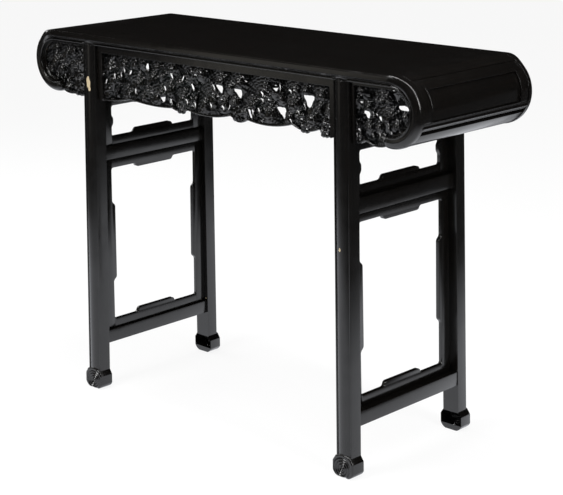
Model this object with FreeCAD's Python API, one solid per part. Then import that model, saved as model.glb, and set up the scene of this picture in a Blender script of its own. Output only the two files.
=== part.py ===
import FreeCAD, Part
import math
import os

# An altar table of lacquered hardwood: a flat top whose two ends roll down as scrolls, pierced aprons,
# and four splayed legs joined in pairs by side frames. X runs along the table, the front faces -Y and
# the floor is z = 0. Lengths are in millimetres and angles in degrees.

# Top and its moulded edge
table_height = 840.0
half_depth = 192.0
edge_height = 24.0
edge_rail_width = 62.0
edge_arris_inset = 3.5
edge_foot_inset = 9.5
edge_peak_height = 15.6
edge_bead_height = 4.0
edge_bead_swell = 2.0
board_thickness = 18.0
end_rail_width = 50.0
panel_tongue_length = 8.0
panel_tongue_thickness = 6.0
batten_width = 40.0
batten_height = 22.0
batten_lap = 20.0
batten_spacing = 250.0

# Scroll ends, turned about an axis that runs from front to back
scroll_axis_x = 505.0
scroll_radius = 72.0
band_thickness = 26.0
band_top_angle = 90.0
band_end_angle = -97.0
crease_angle = 60.0
panel_top_angle = 40.0
panel_bottom_angle = -14.0
bead_angle = -21.0
groove_top_angle = -27.0
groove_bottom_angle = -35.0
end_board_inset = 1.0
groove_depth = 6.0
end_bead_radius = 3.0
end_board_stile_width = 24.0
end_panel_inset = 2.5
end_panel_thickness = 12.0

# Legs, measured upright before they lean
leg_x = 379.1
leg_setback = 12.8
leg_width = 41.0
leg_depth = 28.0
leg_swell = 6.5
leg_bead_width = 4.0
lean_along = 1.0
lean_across = 0.7
leg_tenon_width = 20.0
leg_tenon_depth = 12.0
leg_tenon_height = 14.0
leg_tenon_setback = 30.0
shoulder_height = 12.0
shoulder_flare = 9.0
shoulder_inset = 4.5

# Feet
foot_width = 56.0
foot_neck_height = 44.0
foot_side_top = 33.0
foot_side_bottom = 12.0
foot_sole_width = 28.0
foot_curve_x = 22.5
foot_curve_z = 4.5
volute_x = -2.0
volute_z = 18.0
volute_radius = 17.5
volute_pitch = 6.0
volute_rings = 3
volute_groove_width = 2.4
volute_groove_depth = 1.6
volute_start_angle = -60.0
volute_end_angle = 200.0

# Rails of the side frames, the stretcher from the floor and the others from the top
stretcher_bottom = 106.0
stretcher_height = 31.0
stretcher_setback = 1.0
stretcher_thickness = 36.0
mid_rail_drop = 270.0
mid_rail_height = 32.0
upper_rail_drop = 126.0
upper_rail_height = 25.0
head_rail_height = 26.0
rail_setback = 6.5
rail_thickness = 28.0
rail_tenon_length = 14.0
rail_tenon_thickness = 12.0
rail_tenon_shoulder = 6.0

# Shaped strips that line the openings of the side frames
strip_setback = 21.0
strip_thickness = 9.5
corner_radius = 5.0
lower_sill_low = 21.0
lower_sill_high = 32.0
lower_hang_low = 22.0
lower_hang_high = 31.0
lower_step_inner = 50.0
lower_step_outer = 64.0
lower_side_setback = 60.0
lower_side_bulge = 9.0
lower_bulge_drop = 116.0
lower_bulge_rise = 128.0
lower_bulge_run = 17.0
upper_sill_low = 20.0
upper_sill_high = 30.0
upper_hang_low = 20.0
upper_hang_high = 22.0
upper_step_inner = 50.0
upper_step_outer = 66.0
upper_side_setback = 64.0
upper_side_bulge = 5.0
upper_bulge_drop = 53.0
upper_bulge_rise = 53.0
upper_bulge_run = 14.0

# Carved aprons and end bays
apron_setback = 20.0
apron_thickness = 14.0
long_fascia_height = 17.0
long_stile_width = 16.0
end_fascia_height = 7.0
end_stile_width = 8.0
fascia_proud = 3.0
relief_depth = 5.0
apron_height = 122.0
scallop_height = 14.0
border_width = 5.0
ridge_width = 3.6
ridge_pitch = 7.6
ridges_per_head = 3
stem_width = 7.0
petals_per_rosette = 5
petal_radius_share = 0.4
petal_reach_share = 0.6
rosette_heart_share = 0.42
tongue_length = 5.0
tongue_thickness = 5.0
tongue_end_gap = 24.0

# Fits
fit_clearance = 0.2
curve_clearance = 0.3
overrun = 2.0

# Lower edge of the long apron from left to right, cusps and low points by turns, as shares of half the
# bay and of the height of a scallop
long_edge_shares = (
    (-1.0, -0.2), (-0.85, -0.05), (-0.71, 0.64), (-0.5, 0.2), (-0.33, 0.4), (-0.26, 0.05), (-0.2, 0.5),
    (-0.05, 0.05), (0.17, 0.79), (0.237, 0.0), (0.3, 0.6), (0.48, 0.25), (0.66, 1.05), (0.76, 0.4),
    (0.86, 1.0), (0.92, 0.2), (1.0, 0.6))

# Cloud heads of the long apron: place as shares of half the bay and of the carved field, radius as a
# share of the field, then the angle that each head faces and how far it opens to each side
long_head_shares = (
    (-0.881, 0.248, 0.171, 100, 110), (-0.773, 0.19, 0.219, 115, 110), (-0.673, 0.152, 0.143, 80, 110),
    (-0.523, 0.19, 0.238, 105, 105), (-0.327, 0.171, 0.171, 60, 110), (-0.227, 0.324, 0.248, 110, 105),
    (-0.133, 0.133, 0.143, 70, 110), (-0.05, 0.419, 0.305, 110, 105), (0.066, 0.21, 0.19, 80, 110),
    (0.155, 0.19, 0.21, 100, 110), (0.332, 0.21, 0.19, 120, 110), (0.465, 0.248, 0.305, 100, 115),
    (0.665, 0.21, 0.162, 60, 110), (0.836, 0.248, 0.257, -45, 110), (0.936, 0.457, 0.19, 120, 110),
    (-0.903, 0.8, 0.21, 60, 110), (-0.836, 0.533, 0.181, 130, 110), (-0.731, 0.533, 0.267, 100, 100),
    (-0.648, 0.829, 0.181, 90, 110), (-0.573, 0.457, 0.181, 60, 120), (-0.451, 0.81, 0.19, 100, 110),
    (-0.363, 0.476, 0.267, 75, 105), (-0.349, 0.857, 0.143, 70, 110), (-0.249, 0.81, 0.21, 90, 110),
    (-0.138, 0.914, 0.133, 110, 110), (-0.05, 0.876, 0.152, 70, 110), (0.036, 0.857, 0.162, 120, 120),
    (0.144, 0.857, 0.19, 80, 120), (0.172, 0.514, 0.143, 130, 110), (0.349, 0.762, 0.276, 125, 95),
    (0.271, 0.933, 0.095, 90, 110), (0.443, 0.686, 0.162, 60, 120), (0.631, 0.857, 0.2, 110, 110),
    (0.645, 0.533, 0.257, 95, 100), (0.881, 0.819, 0.229, 70, 110), (0.726, 0.933, 0.124, 90, 110),
    (-0.582, 0.19, 0.114, 120, 120), (0.415, 0.914, 0.114, 60, 110), (0.753, 0.267, 0.133, 110, 110),
    (0.543, 0.962, 0.086, 90, 110), (-0.809, 0.886, 0.143, 80, 110))
long_rosette_shares = (
    (-0.942, 0.171, 0.133), (-0.258, 0.124, 0.124), (0.238, 0.124, 0.124), (0.703, 0.267, 0.124),
    (0.925, 0.152, 0.133), (-0.155, 0.648, 0.133), (0.255, 0.324, 0.114), (-0.443, 0.552, 0.105),
    (-0.955, 0.514, 0.105), (0.742, 0.486, 0.105), (0.534, 0.552, 0.095))

# Stems of the long apron: both ends in the same shares, then how far the stem bows
long_stem_shares = (
    (-0.955, 0.248, -0.864, 0.962, 0.095), (-0.831, 0.057, -0.9, 0.724, 0.076),
    (-0.654, 0.057, -0.615, 0.724, -0.114), (-0.587, 0.486, -0.504, 0.981, -0.076),
    (-0.443, 0.105, -0.388, 0.457, 0.057), (-0.288, 0.105, -0.255, 0.819, -0.076),
    (-0.194, 0.105, -0.144, 0.705, 0.076), (-0.061, 0.057, -0.044, 0.419, 0.048),
    (0, 0.676, 0.083, 0.981, 0.057), (0.1, 0.105, 0.144, 0.819, -0.057),
    (0.199, 0.076, 0.288, 0.771, 0.076), (0.338, 0.057, 0.277, 0.514, -0.057),
    (0.404, 0.981, 0.487, 0.362, 0.076), (0.51, 0.514, 0.565, 0.981, -0.076),
    (0.709, 0.076, 0.654, 0.514, 0.076), (0.626, 0.495, 0.631, 0.914, 0.048),
    (0.726, 0.676, 0.886, 0.981, 0.114), (0.786, 0.095, 0.742, 0.629, -0.076),
    (0.919, 0.095, 0.969, 0.629, -0.057), (-0.955, 0.39, -0.845, 0.59, 0.057),
    (-0.498, 0.438, -0.457, 0.8, 0.038), (0.568, 0.171, 0.587, 0.514, 0.038),
    (0.233, 0.667, 0.183, 0.514, 0.038), (0.692, 0.724, 0.726, 0.933, 0.038),
    (-0.803, 0.629, -0.665, 0.867, 0.057))

# The same for an end bay, measured from the leg outwards as shares of the bay's length
end_edge_shares = ((0.0, 0.3), (0.1, 0.1), (0.2, 0.6), (0.38, -0.05), (0.58, 0.4))
end_head_shares = (
    (0.138, 0.914, 0.19, 130, 120), (0.284, 0.981, 0.133, 60, 120), (0.456, 0.867, 0.238, 80, 110),
    (0.609, 0.6, 0.276, 75, 110), (0.291, 0.419, 0.171, 150, 110), (0.397, 0.19, 0.181, 110, 110),
    (0.781, 0.39, 0.171, 40, 110), (0.596, 0.267, 0.162, 90, 110), (0.861, 0.61, 0.143, 20, 110),
    (0.105, 0.629, 0.105, 120, 120), (0.881, 0.486, 0.086, 0, 110))
end_rosette_shares = (
    (0.112, 0.19, 0.162), (0.251, 0.648, 0.095), (0.755, 0.781, 0.086))
end_stem_shares = (
    (0.065, 0.295, 0.198, 0.819, 0.076), (0.198, 0.076, 0.33, 0.895, -0.114),
    (0.317, 0.076, 0.476, 0.724, -0.076), (0.516, 0.105, 0.596, 0.6, 0.057),
    (0.649, 0.819, 0.781, 1.086, 0.076), (0.834, 0.486, 0.973, 0.552, 0.038),
    (0.682, 0.267, 0.848, 0.324, -0.038), (0.503, 1.01, 0.649, 1.067, 0.038),
    (0.019, 0.533, 0.151, 0.552, 0.038), (0.887, 0.648, 0.967, 0.857, -0.038))

# Places that follow from the sizes above
edge_bottom = table_height - edge_height
half_turn = 180
full_turn = 360
board_bottom = table_height - board_thickness
rail_inner_y = half_depth - edge_rail_width
panel_half_length = scroll_axis_x - end_rail_width
scroll_axis_z = table_height - scroll_radius
band_inner_radius = scroll_radius - edge_height
band_inner_y = half_depth - band_thickness
board_outer_radius = scroll_radius - end_board_inset
board_inner_radius = scroll_radius - board_thickness
end_panel_half_depth = band_inner_y - end_board_stile_width
petal_angle = full_turn / petals_per_rosette
leg_half = leg_width / 2
leg_corner_y = half_depth - leg_setback
leg_tenon_y = half_depth - leg_tenon_setback
along_slope = math.tan(math.radians(lean_along))
across_slope = math.tan(math.radians(lean_across))
leg_half_leaning = leg_half / math.cos(math.radians(lean_along))
stretcher_top = stretcher_bottom + stretcher_height
upper_rail_bottom = edge_bottom - upper_rail_drop
mid_rail_bottom = edge_bottom - mid_rail_drop
mid_rail_top = mid_rail_bottom + mid_rail_height
lower_side_half = half_depth - lower_side_setback
lower_bulge_top = mid_rail_bottom - lower_bulge_drop
lower_bulge_bottom = stretcher_top + lower_bulge_rise
upper_side_half = half_depth - upper_side_setback
upper_bulge_top = upper_rail_bottom - upper_bulge_drop
upper_bulge_bottom = mid_rail_top + upper_bulge_rise
strip_outer_x = leg_x + leg_half - strip_setback
apron_face_y = half_depth - apron_setback
apron_low_z = edge_bottom - apron_height
field_top = edge_bottom - long_fascia_height
end_field_top = edge_bottom - end_fascia_height
field_height = field_top - apron_low_z
apron_back_y = apron_face_y - apron_thickness
ground_face_y = apron_face_y - relief_depth

Vector = FreeCAD.Vector
x_axis = Vector(1, 0, 0)
y_axis = Vector(0, 1, 0)
z_axis = Vector(0, 0, 1)
origin = Vector(0, 0, 0)
scroll_axis_point = Vector(scroll_axis_x, 0, scroll_axis_z)
normals = {"xy": z_axis, "xz": y_axis, "yz": x_axis}
parts = {}


# Drawing helpers. A path is a list of corners, where a pair of corners stands for an arc through the
# first of them to the second.

def space_point(plane, point, offset):
    first, second = point
    if plane == "xy":
        return Vector(first, second, offset)
    if plane == "xz":
        return Vector(first, offset, second)
    return Vector(offset, first, second)


def face_of(path, plane, offset):
    edges = []
    here = path[0]
    for step in path[1:] + [path[0]]:
        start = space_point(plane, here, offset)
        if isinstance(step[0], tuple):
            through, here = step
            middle = space_point(plane, through, offset)
            edges.append(Part.Arc(start, middle, space_point(plane, here, offset)).toShape())
        elif step != here:
            here = step
            edges.append(Part.makeLine(start, space_point(plane, here, offset)))
    surface = Part.Plane(space_point(plane, (0, 0), offset), normals[plane])
    return Part.Face(surface, Part.Wire(edges))


def slab(path, plane, start, end):
    return face_of(path, plane, start).extrude(normals[plane] * (end - start))


def box(x_range, y_range, z_range):
    corner = Vector(x_range[0], y_range[0], z_range[0])
    size = (Vector(x_range[1], y_range[1], z_range[1]) - corner)
    return Part.makeBox(size.x, size.y, size.z, corner)


def polar(centre, radius, angle):
    turn = math.radians(angle)
    return (centre[0] + radius * math.cos(turn), centre[1] + radius * math.sin(turn))


def middle_of(first, second):
    return ((first[0] + second[0]) / 2, (first[1] + second[1]) / 2)


def tangent_arc(start, tangent, end):
    chord = (end[0] - start[0], end[1] - start[1])
    side = chord[0] * tangent[1] - chord[1] * tangent[0]
    ahead = chord[0] * tangent[0] + chord[1] * tangent[1]
    rise = math.tan(math.atan2(side, ahead) / 2) / 2
    centre = middle_of(start, end)
    return (centre[0] - chord[1] * rise, centre[1] + chord[0] * rise)


def ogee(start, end, tangent):
    """Two arcs that leave the start and reach the end along the tangent."""
    turning = middle_of(start, end)
    back = (-tangent[0], -tangent[1])
    return [(tangent_arc(start, tangent, turning), turning), (tangent_arc(end, back, turning), end)]


def arc_band(centre, radius, width, from_angle, to_angle):
    outer = radius + width / 2
    inner = radius - width / 2
    half_way = (from_angle + to_angle) / 2
    return [
        polar(centre, inner, from_angle),
        polar(centre, outer, from_angle),
        (polar(centre, outer, half_way), polar(centre, outer, to_angle)),
        polar(centre, inner, to_angle),
        (polar(centre, inner, half_way), polar(centre, inner, from_angle))]


def disc_face(centre, radius):
    circle = Part.makeCircle(radius, space_point("xz", centre, 0), y_axis)
    return Part.Face(Part.Plane(origin, y_axis), Part.Wire([circle]))


def united(shapes):
    return shapes[0].fuse(shapes[1:]).removeSplitter() if len(shapes) > 1 else shapes[0]


def mirrored_x(shape):
    return shape.mirror(origin, x_axis)


def mirrored_y(shape):
    return shape.mirror(origin, y_axis)


def turned_half(shape):
    turned = shape.copy()
    turned.rotate(origin, z_axis, half_turn)
    return turned


# Top

def edge_path(inner_y):
    """Section of the rear edge in y and z: inner face, bead, swelling moulding and flat top."""
    foot_y = half_depth - edge_foot_inset
    bead_mid = edge_bottom + edge_bead_height / 2
    bead_top = edge_bottom + edge_bead_height
    arris_y = half_depth - edge_arris_inset
    peak = (half_depth, edge_bottom + edge_peak_height)
    return [
        (inner_y, edge_bottom),
        (foot_y, edge_bottom),
        ((foot_y + edge_bead_swell, bead_mid), (foot_y, bead_top)),
        (peak, (arris_y, table_height)),
        (inner_y, table_height)]


def leg_tenon(grow):
    """Stub on top of the front right leg, let into the edge rail."""
    centre_x = leg_x + along_slope * edge_height
    half_width = leg_tenon_width / 2 + grow
    half_tenon = leg_tenon_depth / 2 + grow
    return box(
        (centre_x - half_width, centre_x + half_width),
        (-leg_tenon_y - half_tenon, -leg_tenon_y + half_tenon),
        (edge_bottom, edge_bottom + leg_tenon_height + grow))


def leg_shoulder():
    """Flared block that carries the ridge of the front right leg up into the moulding."""
    centre_x = leg_x + along_slope * edge_height
    top = edge_bottom + shoulder_height
    side = centre_x + leg_half
    far = side + shoulder_flare
    near_side = centre_x - leg_half
    near = near_side - shoulder_flare
    path = [
        (near_side, edge_bottom),
        (side, edge_bottom),
        (tangent_arc((side, edge_bottom), (0, 1), (far, top)), (far, top)),
        (near, top),
        (tangent_arc((near_side, edge_bottom), (0, 1), (near, top)), (near_side, edge_bottom))]
    return slab(path, "xz", -half_depth + shoulder_inset, -rail_inner_y)


def panel_block(grow):
    """Flat panel with its tongues, or the space that it takes in the frame."""
    tongue_bottom = board_bottom + (board_thickness - panel_tongue_thickness) / 2 - grow
    tongue_top = tongue_bottom + panel_tongue_thickness + 2 * grow
    reach_x = panel_half_length + panel_tongue_length + grow
    reach_y = rail_inner_y + panel_tongue_length + grow
    tongue = box((-reach_x, reach_x), (-reach_y, reach_y), (tongue_bottom, tongue_top))
    body = box((-panel_half_length, panel_half_length), (-rail_inner_y, rail_inner_y),
               (board_bottom, table_height))
    return united([body, tongue])


def front_rail():
    rail = mirrored_y(slab(edge_path(rail_inner_y), "yz", -scroll_axis_x, scroll_axis_x))
    shoulder = leg_shoulder()
    tenon = leg_tenon(fit_clearance)
    rail = united([rail, shoulder, mirrored_x(shoulder)])
    return rail.cut([panel_block(fit_clearance), tenon, mirrored_x(tenon)])


def right_end_rail():
    """Cross rail whose outer part bends over into the scroll, as far as the crease."""
    flat = box((panel_half_length, scroll_axis_x), (-rail_inner_y, rail_inner_y),
               (board_bottom, table_height))
    bend = end_sweep(scroll_radius, board_inner_radius, band_inner_y, band_top_angle, crease_angle)
    return united([flat, bend]).cut(panel_block(fit_clearance))


def batten(centre_x):
    """Cross batten under the panel, with ends that lap under the edge rails."""
    low = board_bottom - batten_height
    lap_y = rail_inner_y + batten_lap
    path = [
        (-lap_y, low), (lap_y, low), (lap_y, edge_bottom), (rail_inner_y, edge_bottom),
        (rail_inner_y, board_bottom), (-rail_inner_y, board_bottom), (-rail_inner_y, edge_bottom),
        (-lap_y, edge_bottom)]
    return slab(path, "yz", centre_x - batten_width / 2, centre_x + batten_width / 2)


# Scroll ends, drawn for the right end

def scroll_sweep(path, from_angle, to_angle):
    face = face_of(path, "yz", scroll_axis_x)
    face.rotate(scroll_axis_point, y_axis, band_top_angle - from_angle)
    return face.revolve(scroll_axis_point, y_axis, from_angle - to_angle)


def end_sweep(outer_radius, inner_radius, half_width, from_angle, to_angle):
    low = scroll_axis_z + inner_radius
    high = scroll_axis_z + outer_radius
    path = [(-half_width, low), (half_width, low), (half_width, high), (-half_width, high)]
    return scroll_sweep(path, from_angle, to_angle)


def band_nose(grow):
    """Rounded end of the band, as a centre and a radius."""
    middle = band_inner_radius + edge_height / 2
    return polar((scroll_axis_x, scroll_axis_z), middle, band_end_angle), edge_height / 2 + grow


def rear_band():
    band = scroll_sweep(edge_path(band_inner_y), band_top_angle, band_end_angle)
    centre, radius = band_nose(0)
    nose = Part.makeCylinder(radius, band_thickness - edge_foot_inset,
                             space_point("xz", centre, band_inner_y), y_axis)
    return united([band, nose])


def end_upper_rail():
    return end_sweep(board_outer_radius, board_inner_radius, band_inner_y, crease_angle, panel_top_angle)


def end_lower_rail():
    board = end_sweep(board_outer_radius, board_inner_radius, band_inner_y, panel_bottom_angle,
                      groove_top_angle)
    groove = end_sweep(board_outer_radius - groove_depth, board_inner_radius, band_inner_y,
                       groove_top_angle, groove_bottom_angle)
    bead_centre = polar((scroll_axis_x, scroll_axis_z), board_outer_radius, bead_angle)
    bead = Part.makeCylinder(end_bead_radius, 2 * band_inner_y,
                             space_point("xz", bead_centre, -band_inner_y), y_axis)
    return united([board, groove, bead])


def rear_end_stile():
    low = scroll_axis_z + board_inner_radius
    high = scroll_axis_z + board_outer_radius
    path = [(end_panel_half_depth, low), (band_inner_y, low), (band_inner_y, high),
            (end_panel_half_depth, high)]
    return scroll_sweep(path, panel_top_angle, panel_bottom_angle)


def end_panel():
    outer = board_outer_radius - end_panel_inset
    return end_sweep(outer, outer - end_panel_thickness, end_panel_half_depth, panel_top_angle,
                     panel_bottom_angle)


def scroll_lip():
    return end_sweep(board_outer_radius, board_inner_radius, band_inner_y, groove_bottom_angle,
                     band_end_angle)


# Side frames, drawn upright for the right end and then leaned outwards

def lean_frame(shape):
    leaning = shape.copy()
    leaning.rotate(Vector(leg_x, 0, table_height), y_axis, -lean_along)
    return leaning


def leg_inner_y(z):
    """Where the inner face of a leg stands at a height, once the leg leans."""
    upright = leg_corner_y - leg_depth / math.cos(math.radians(lean_across))
    return upright + across_slope * (table_height - z)


def frame_path(bottom, top):
    low = leg_inner_y(bottom)
    high = leg_inner_y(top)
    return [(-low, bottom), (low, bottom), (high, top), (-high, top)]


def tenon_bar(bottom, height, setback, thickness, grow):
    """Bar that stands for both tenons of a rail."""
    low = bottom + rail_tenon_shoulder - grow
    high = bottom + height - rail_tenon_shoulder + grow
    reach = leg_inner_y(bottom + height / 2) + rail_tenon_length + grow
    middle = leg_x + leg_half - setback - thickness / 2
    half_bar = rail_tenon_thickness / 2 + grow
    return box((middle - half_bar, middle + half_bar), (-reach, reach), (low, high))


def side_rail(bottom, height, setback, thickness):
    outer = leg_x + leg_half - setback
    body = slab(frame_path(bottom, bottom + height), "yz", outer - thickness, outer)
    return united([body, tenon_bar(bottom, height, setback, thickness, 0)])


rail_sizes = {
    "stretcher": (stretcher_bottom, stretcher_height, stretcher_setback, stretcher_thickness),
    "mid_rail": (mid_rail_bottom, mid_rail_height, rail_setback, rail_thickness),
    "upper_rail": (upper_rail_bottom, upper_rail_height, rail_setback, rail_thickness),
    "head_rail": (edge_bottom - head_rail_height, head_rail_height + overrun, rail_setback,
                  rail_thickness)}


def sill_path(base, low, high, half, step_inner, step_outer):
    """Shaped strip along a rail: raised in the middle, with rounded corners at both ends. A negative
    height hangs the strip below its rail."""
    edge = base + low
    crown = base + high
    corner = math.copysign(corner_radius, low)
    left = (-1, 0)
    return [
        (-half, base),
        (half, base),
        (half, edge + corner),
        (tangent_arc((half - corner_radius, edge), (1, 0), (half, edge + corner)),
         (half - corner_radius, edge)),
        (step_outer, edge),
        *ogee((step_outer, edge), (step_inner, crown), left),
        (-step_inner, crown),
        *ogee((-step_inner, crown), (-step_outer, edge), left),
        (-half + corner_radius, edge),
        (tangent_arc((-half + corner_radius, edge), left, (-half, edge + corner)),
         (-half, edge + corner))]


def side_strip_path(bottom, top, half, bulge, bulge_bottom, bulge_top, run):
    """Rear upright strip: its back follows the leg, and its front bulges into the opening."""
    down = (0, -1)
    near = half - bulge
    return [
        (half, bottom),
        (leg_inner_y(bottom), bottom),
        (leg_inner_y(top), top),
        (half, top),
        (half, bulge_top + run),
        *ogee((half, bulge_top + run), (near, bulge_top), down),
        (near, bulge_bottom),
        *ogee((near, bulge_bottom), (half, bulge_bottom - run), down)]


def strip(path):
    return slab(path, "yz", strip_outer_x - strip_thickness, strip_outer_x)


def frame_strips():
    lower_side = strip(side_strip_path(
        stretcher_top, mid_rail_bottom, lower_side_half, lower_side_bulge, lower_bulge_bottom,
        lower_bulge_top, lower_bulge_run))
    upper_side = strip(side_strip_path(
        mid_rail_top, upper_rail_bottom, upper_side_half, upper_side_bulge, upper_bulge_bottom,
        upper_bulge_top, upper_bulge_run))
    return {
        "lower_strip_bottom": strip(sill_path(
            stretcher_top, lower_sill_low, lower_sill_high, lower_side_half, lower_step_inner,
            lower_step_outer)),
        "lower_strip_top": strip(sill_path(
            mid_rail_bottom, -lower_hang_low, -lower_hang_high, lower_side_half, lower_step_inner,
            lower_step_outer)),
        "lower_strip_rear": lower_side,
        "lower_strip_front": mirrored_y(lower_side),
        "upper_strip_bottom": strip(sill_path(
            mid_rail_top, upper_sill_low, upper_sill_high, upper_side_half, upper_step_inner,
            upper_step_outer)),
        "upper_strip_top": strip(sill_path(
            upper_rail_bottom, -upper_hang_low, -upper_hang_high, upper_side_half, upper_step_inner,
            upper_step_outer)),
        "upper_strip_rear": upper_side,
        "upper_strip_front": mirrored_y(upper_side)}


def leg_section():
    """Section of a front leg: flat back and sides, a bead on each front corner and a swelling front."""
    face = -leg_corner_y
    back = face + leg_depth
    inner = leg_half - leg_bead_width
    bead_mid = leg_half - leg_bead_width / 2
    bead_front = face - leg_bead_width / 2
    return [
        (-leg_half, back),
        (leg_half, back),
        (leg_half, face),
        ((bead_mid, bead_front), (inner, face)),
        ((0, face - leg_swell), (-inner, face)),
        ((-bead_mid, bead_front), (-leg_half, face))]


def foot_path():
    half_sole = foot_sole_width / 2
    half_foot = foot_width / 2
    return [
        (-half_sole, -overrun),
        (half_sole, -overrun),
        (half_sole, 0),
        ((foot_curve_x, foot_curve_z), (half_foot, foot_side_bottom)),
        (half_foot, foot_side_top),
        (leg_half, foot_neck_height),
        (-leg_half, foot_neck_height),
        (-half_foot, foot_side_top),
        (-half_foot, foot_side_bottom),
        ((-foot_curve_x, foot_curve_z), (-half_sole, 0))]


def foot():
    front = -leg_corner_y - leg_swell
    block = slab(foot_path(), "xz", front, -leg_corner_y + leg_depth)
    grooves = []
    for ring in range(volute_rings):
        radius = volute_radius - ring * volute_pitch
        path = arc_band((volute_x, volute_z), radius, volute_groove_width, volute_start_angle,
                        volute_end_angle)
        grooves.append(slab(path, "xz", front - overrun, front + volute_groove_depth))
    return block.cut(grooves)


def front_right_leg():
    post = slab(leg_section(), "xy", foot_neck_height - overrun, table_height)
    leg = united([post, foot()])
    leg.translate(x_axis * leg_x)
    leg.rotate(Vector(0, -leg_corner_y, table_height), x_axis, -lean_across)
    leg = leg.cut([tenon_bar(*sizes, fit_clearance) for sizes in rail_sizes.values()])
    leg = lean_frame(leg)
    reach = leg_x + foot_width
    room = (-2 * half_depth, 0)
    floor = box((0, reach), room, (-table_height, 0))
    above = box((0, reach), room, (edge_bottom, 2 * table_height))
    tongues = [long_tongue(fit_clearance), end_tongue(fit_clearance)]
    leg = leg.cut([floor, above, *tongues])
    return united([leg, leg_tenon(0)])


# Carved work. Each bay gives a function that places a pair of shares on the apron.

def leg_side_x(z, outer):
    """The side face of a right leg at a height, once the leg leans."""
    side = leg_half_leaning if outer else -leg_half_leaning
    return leg_x + side + along_slope * (table_height - z)


def tongue_slab(outer, grow):
    """Tongue that holds an apron in the side of the right leg."""
    low = apron_low_z + tongue_end_gap - grow
    high = edge_bottom - tongue_end_gap + grow
    into = -tongue_length - grow if outer else tongue_length + grow
    root = -math.copysign(overrun, into)
    path = [
        (leg_side_x(low, outer) + root, low),
        (leg_side_x(low, outer) + into, low),
        (leg_side_x(high, outer) + into, high),
        (leg_side_x(high, outer) + root, high)]
    middle = (ground_face_y + apron_back_y) / 2
    half_tongue = tongue_thickness / 2 + grow
    return slab(path, "xz", -middle - half_tongue, -middle + half_tongue)


def long_tongue(grow):
    return tongue_slab(False, grow)


def end_tongue(grow):
    return tongue_slab(True, grow)


def long_place(x_share, z_share):
    return (x_share * leg_side_x(apron_low_z, False), apron_low_z + z_share * field_height)


def end_place(x_share, z_share):
    start = leg_side_x(apron_low_z, True)
    length = scroll_axis_x + band_inner_radius - start
    return (start + x_share * length, apron_low_z + z_share * field_height)


def scallops(edge_shares, place, first, last):
    """Arcs from cusp to cusp along a lower edge, from left to right."""
    points = [(place(x_share, 0)[0], apron_low_z + z_share * scallop_height)
              for x_share, z_share in edge_shares]
    if first:
        points[0] = (first(points[0][1]), points[0][1])
    if last:
        points[-1] = (last(points[-1][1]), points[-1][1])
    steps = [points[0]]
    for low, cusp in zip(points[1::2], points[2::2]):
        steps.append((low, cusp))
    return steps


def long_outline():
    steps = scallops(long_edge_shares, long_place, lambda z: -leg_side_x(z, False),
                     lambda z: leg_side_x(z, False))
    end = leg_side_x(edge_bottom, False)
    return steps + [(end, edge_bottom), (-end, edge_bottom)]


def long_window():
    """The part of the long apron that is carved, inside its fascia and stiles."""
    end = leg_side_x(field_top, False) - long_stile_width
    return [(-end, 0), (end, 0), (end, field_top), (-end, field_top)]


def end_outline():
    steps = scallops(end_edge_shares, end_place, lambda z: leg_side_x(z, True), None)
    centre = (scroll_axis_x, scroll_axis_z)
    radius = band_inner_radius - curve_clearance
    low_z = steps[-1][1][1]
    return steps + [
        (scroll_axis_x, low_z),
        polar(centre, radius, -band_top_angle),
        (polar(centre, radius, 0), polar(centre, radius, band_top_angle)),
        (scroll_axis_x, edge_bottom),
        (leg_side_x(edge_bottom, True), edge_bottom)]


def end_window():
    start = leg_side_x(end_field_top, True) + end_stile_width
    centre = (scroll_axis_x, scroll_axis_z)
    radius = band_inner_radius - border_width
    return [
        (start, 0),
        (scroll_axis_x, 0),
        polar(centre, radius, -band_top_angle),
        (polar(centre, radius, 0), polar(centre, radius, band_top_angle)),
        (scroll_axis_x, end_field_top),
        (start, end_field_top)]


def end_band_space():
    """Face of the room that the scroll band takes from an end bay."""
    centre = (scroll_axis_x, scroll_axis_z)
    middle = band_inner_radius + edge_height / 2
    grown = edge_height + 2 * curve_clearance
    ring = face_of(arc_band(centre, middle, grown, band_end_angle, 0), "xz", 0)
    nose_centre, nose_radius = band_nose(curve_clearance)
    return united([ring, disc_face(nose_centre, nose_radius)])


def head_faces(place, head):
    """Disc of a cloud head, and the ridges that nest on the side that it faces."""
    x_share, z_share, radius_share, facing, opening = head
    centre = place(x_share, z_share)
    radius = radius_share * field_height
    start = facing - opening
    end = facing + opening
    ridges = []
    for ridge in range(ridges_per_head):
        ridge_radius = radius - ridge_width / 2 - ridge * ridge_pitch
        if ridge_radius > ridge_width:
            band = arc_band(centre, ridge_radius, ridge_width, start, end)
            ridges.append(face_of(band, "xz", 0))
    return disc_face(centre, radius), ridges


def stem_faces(place, stem):
    """Bowed stem with round ends."""
    start = place(stem[0], stem[1])
    end = place(stem[2], stem[3])
    bow = stem[4] * field_height
    chord = math.dist(start, end)
    radius = (chord * chord / 4 + bow * bow) / (2 * abs(bow))
    across = ((start[1] - end[1]) / chord, (end[0] - start[0]) / chord)
    half_way = middle_of(start, end)
    reach = math.copysign(radius - abs(bow), bow)
    centre = (half_way[0] - across[0] * reach, half_way[1] - across[1] * reach)
    facing = math.degrees(math.atan2(across[1] * bow, across[0] * bow))
    spread = math.degrees(math.asin(min(1, chord / 2 / radius)))
    band = arc_band(centre, radius, stem_width, facing - spread, facing + spread)
    ends = [disc_face(start, stem_width / 2), disc_face(end, stem_width / 2)]
    return [face_of(band, "xz", 0), *ends]


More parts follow.
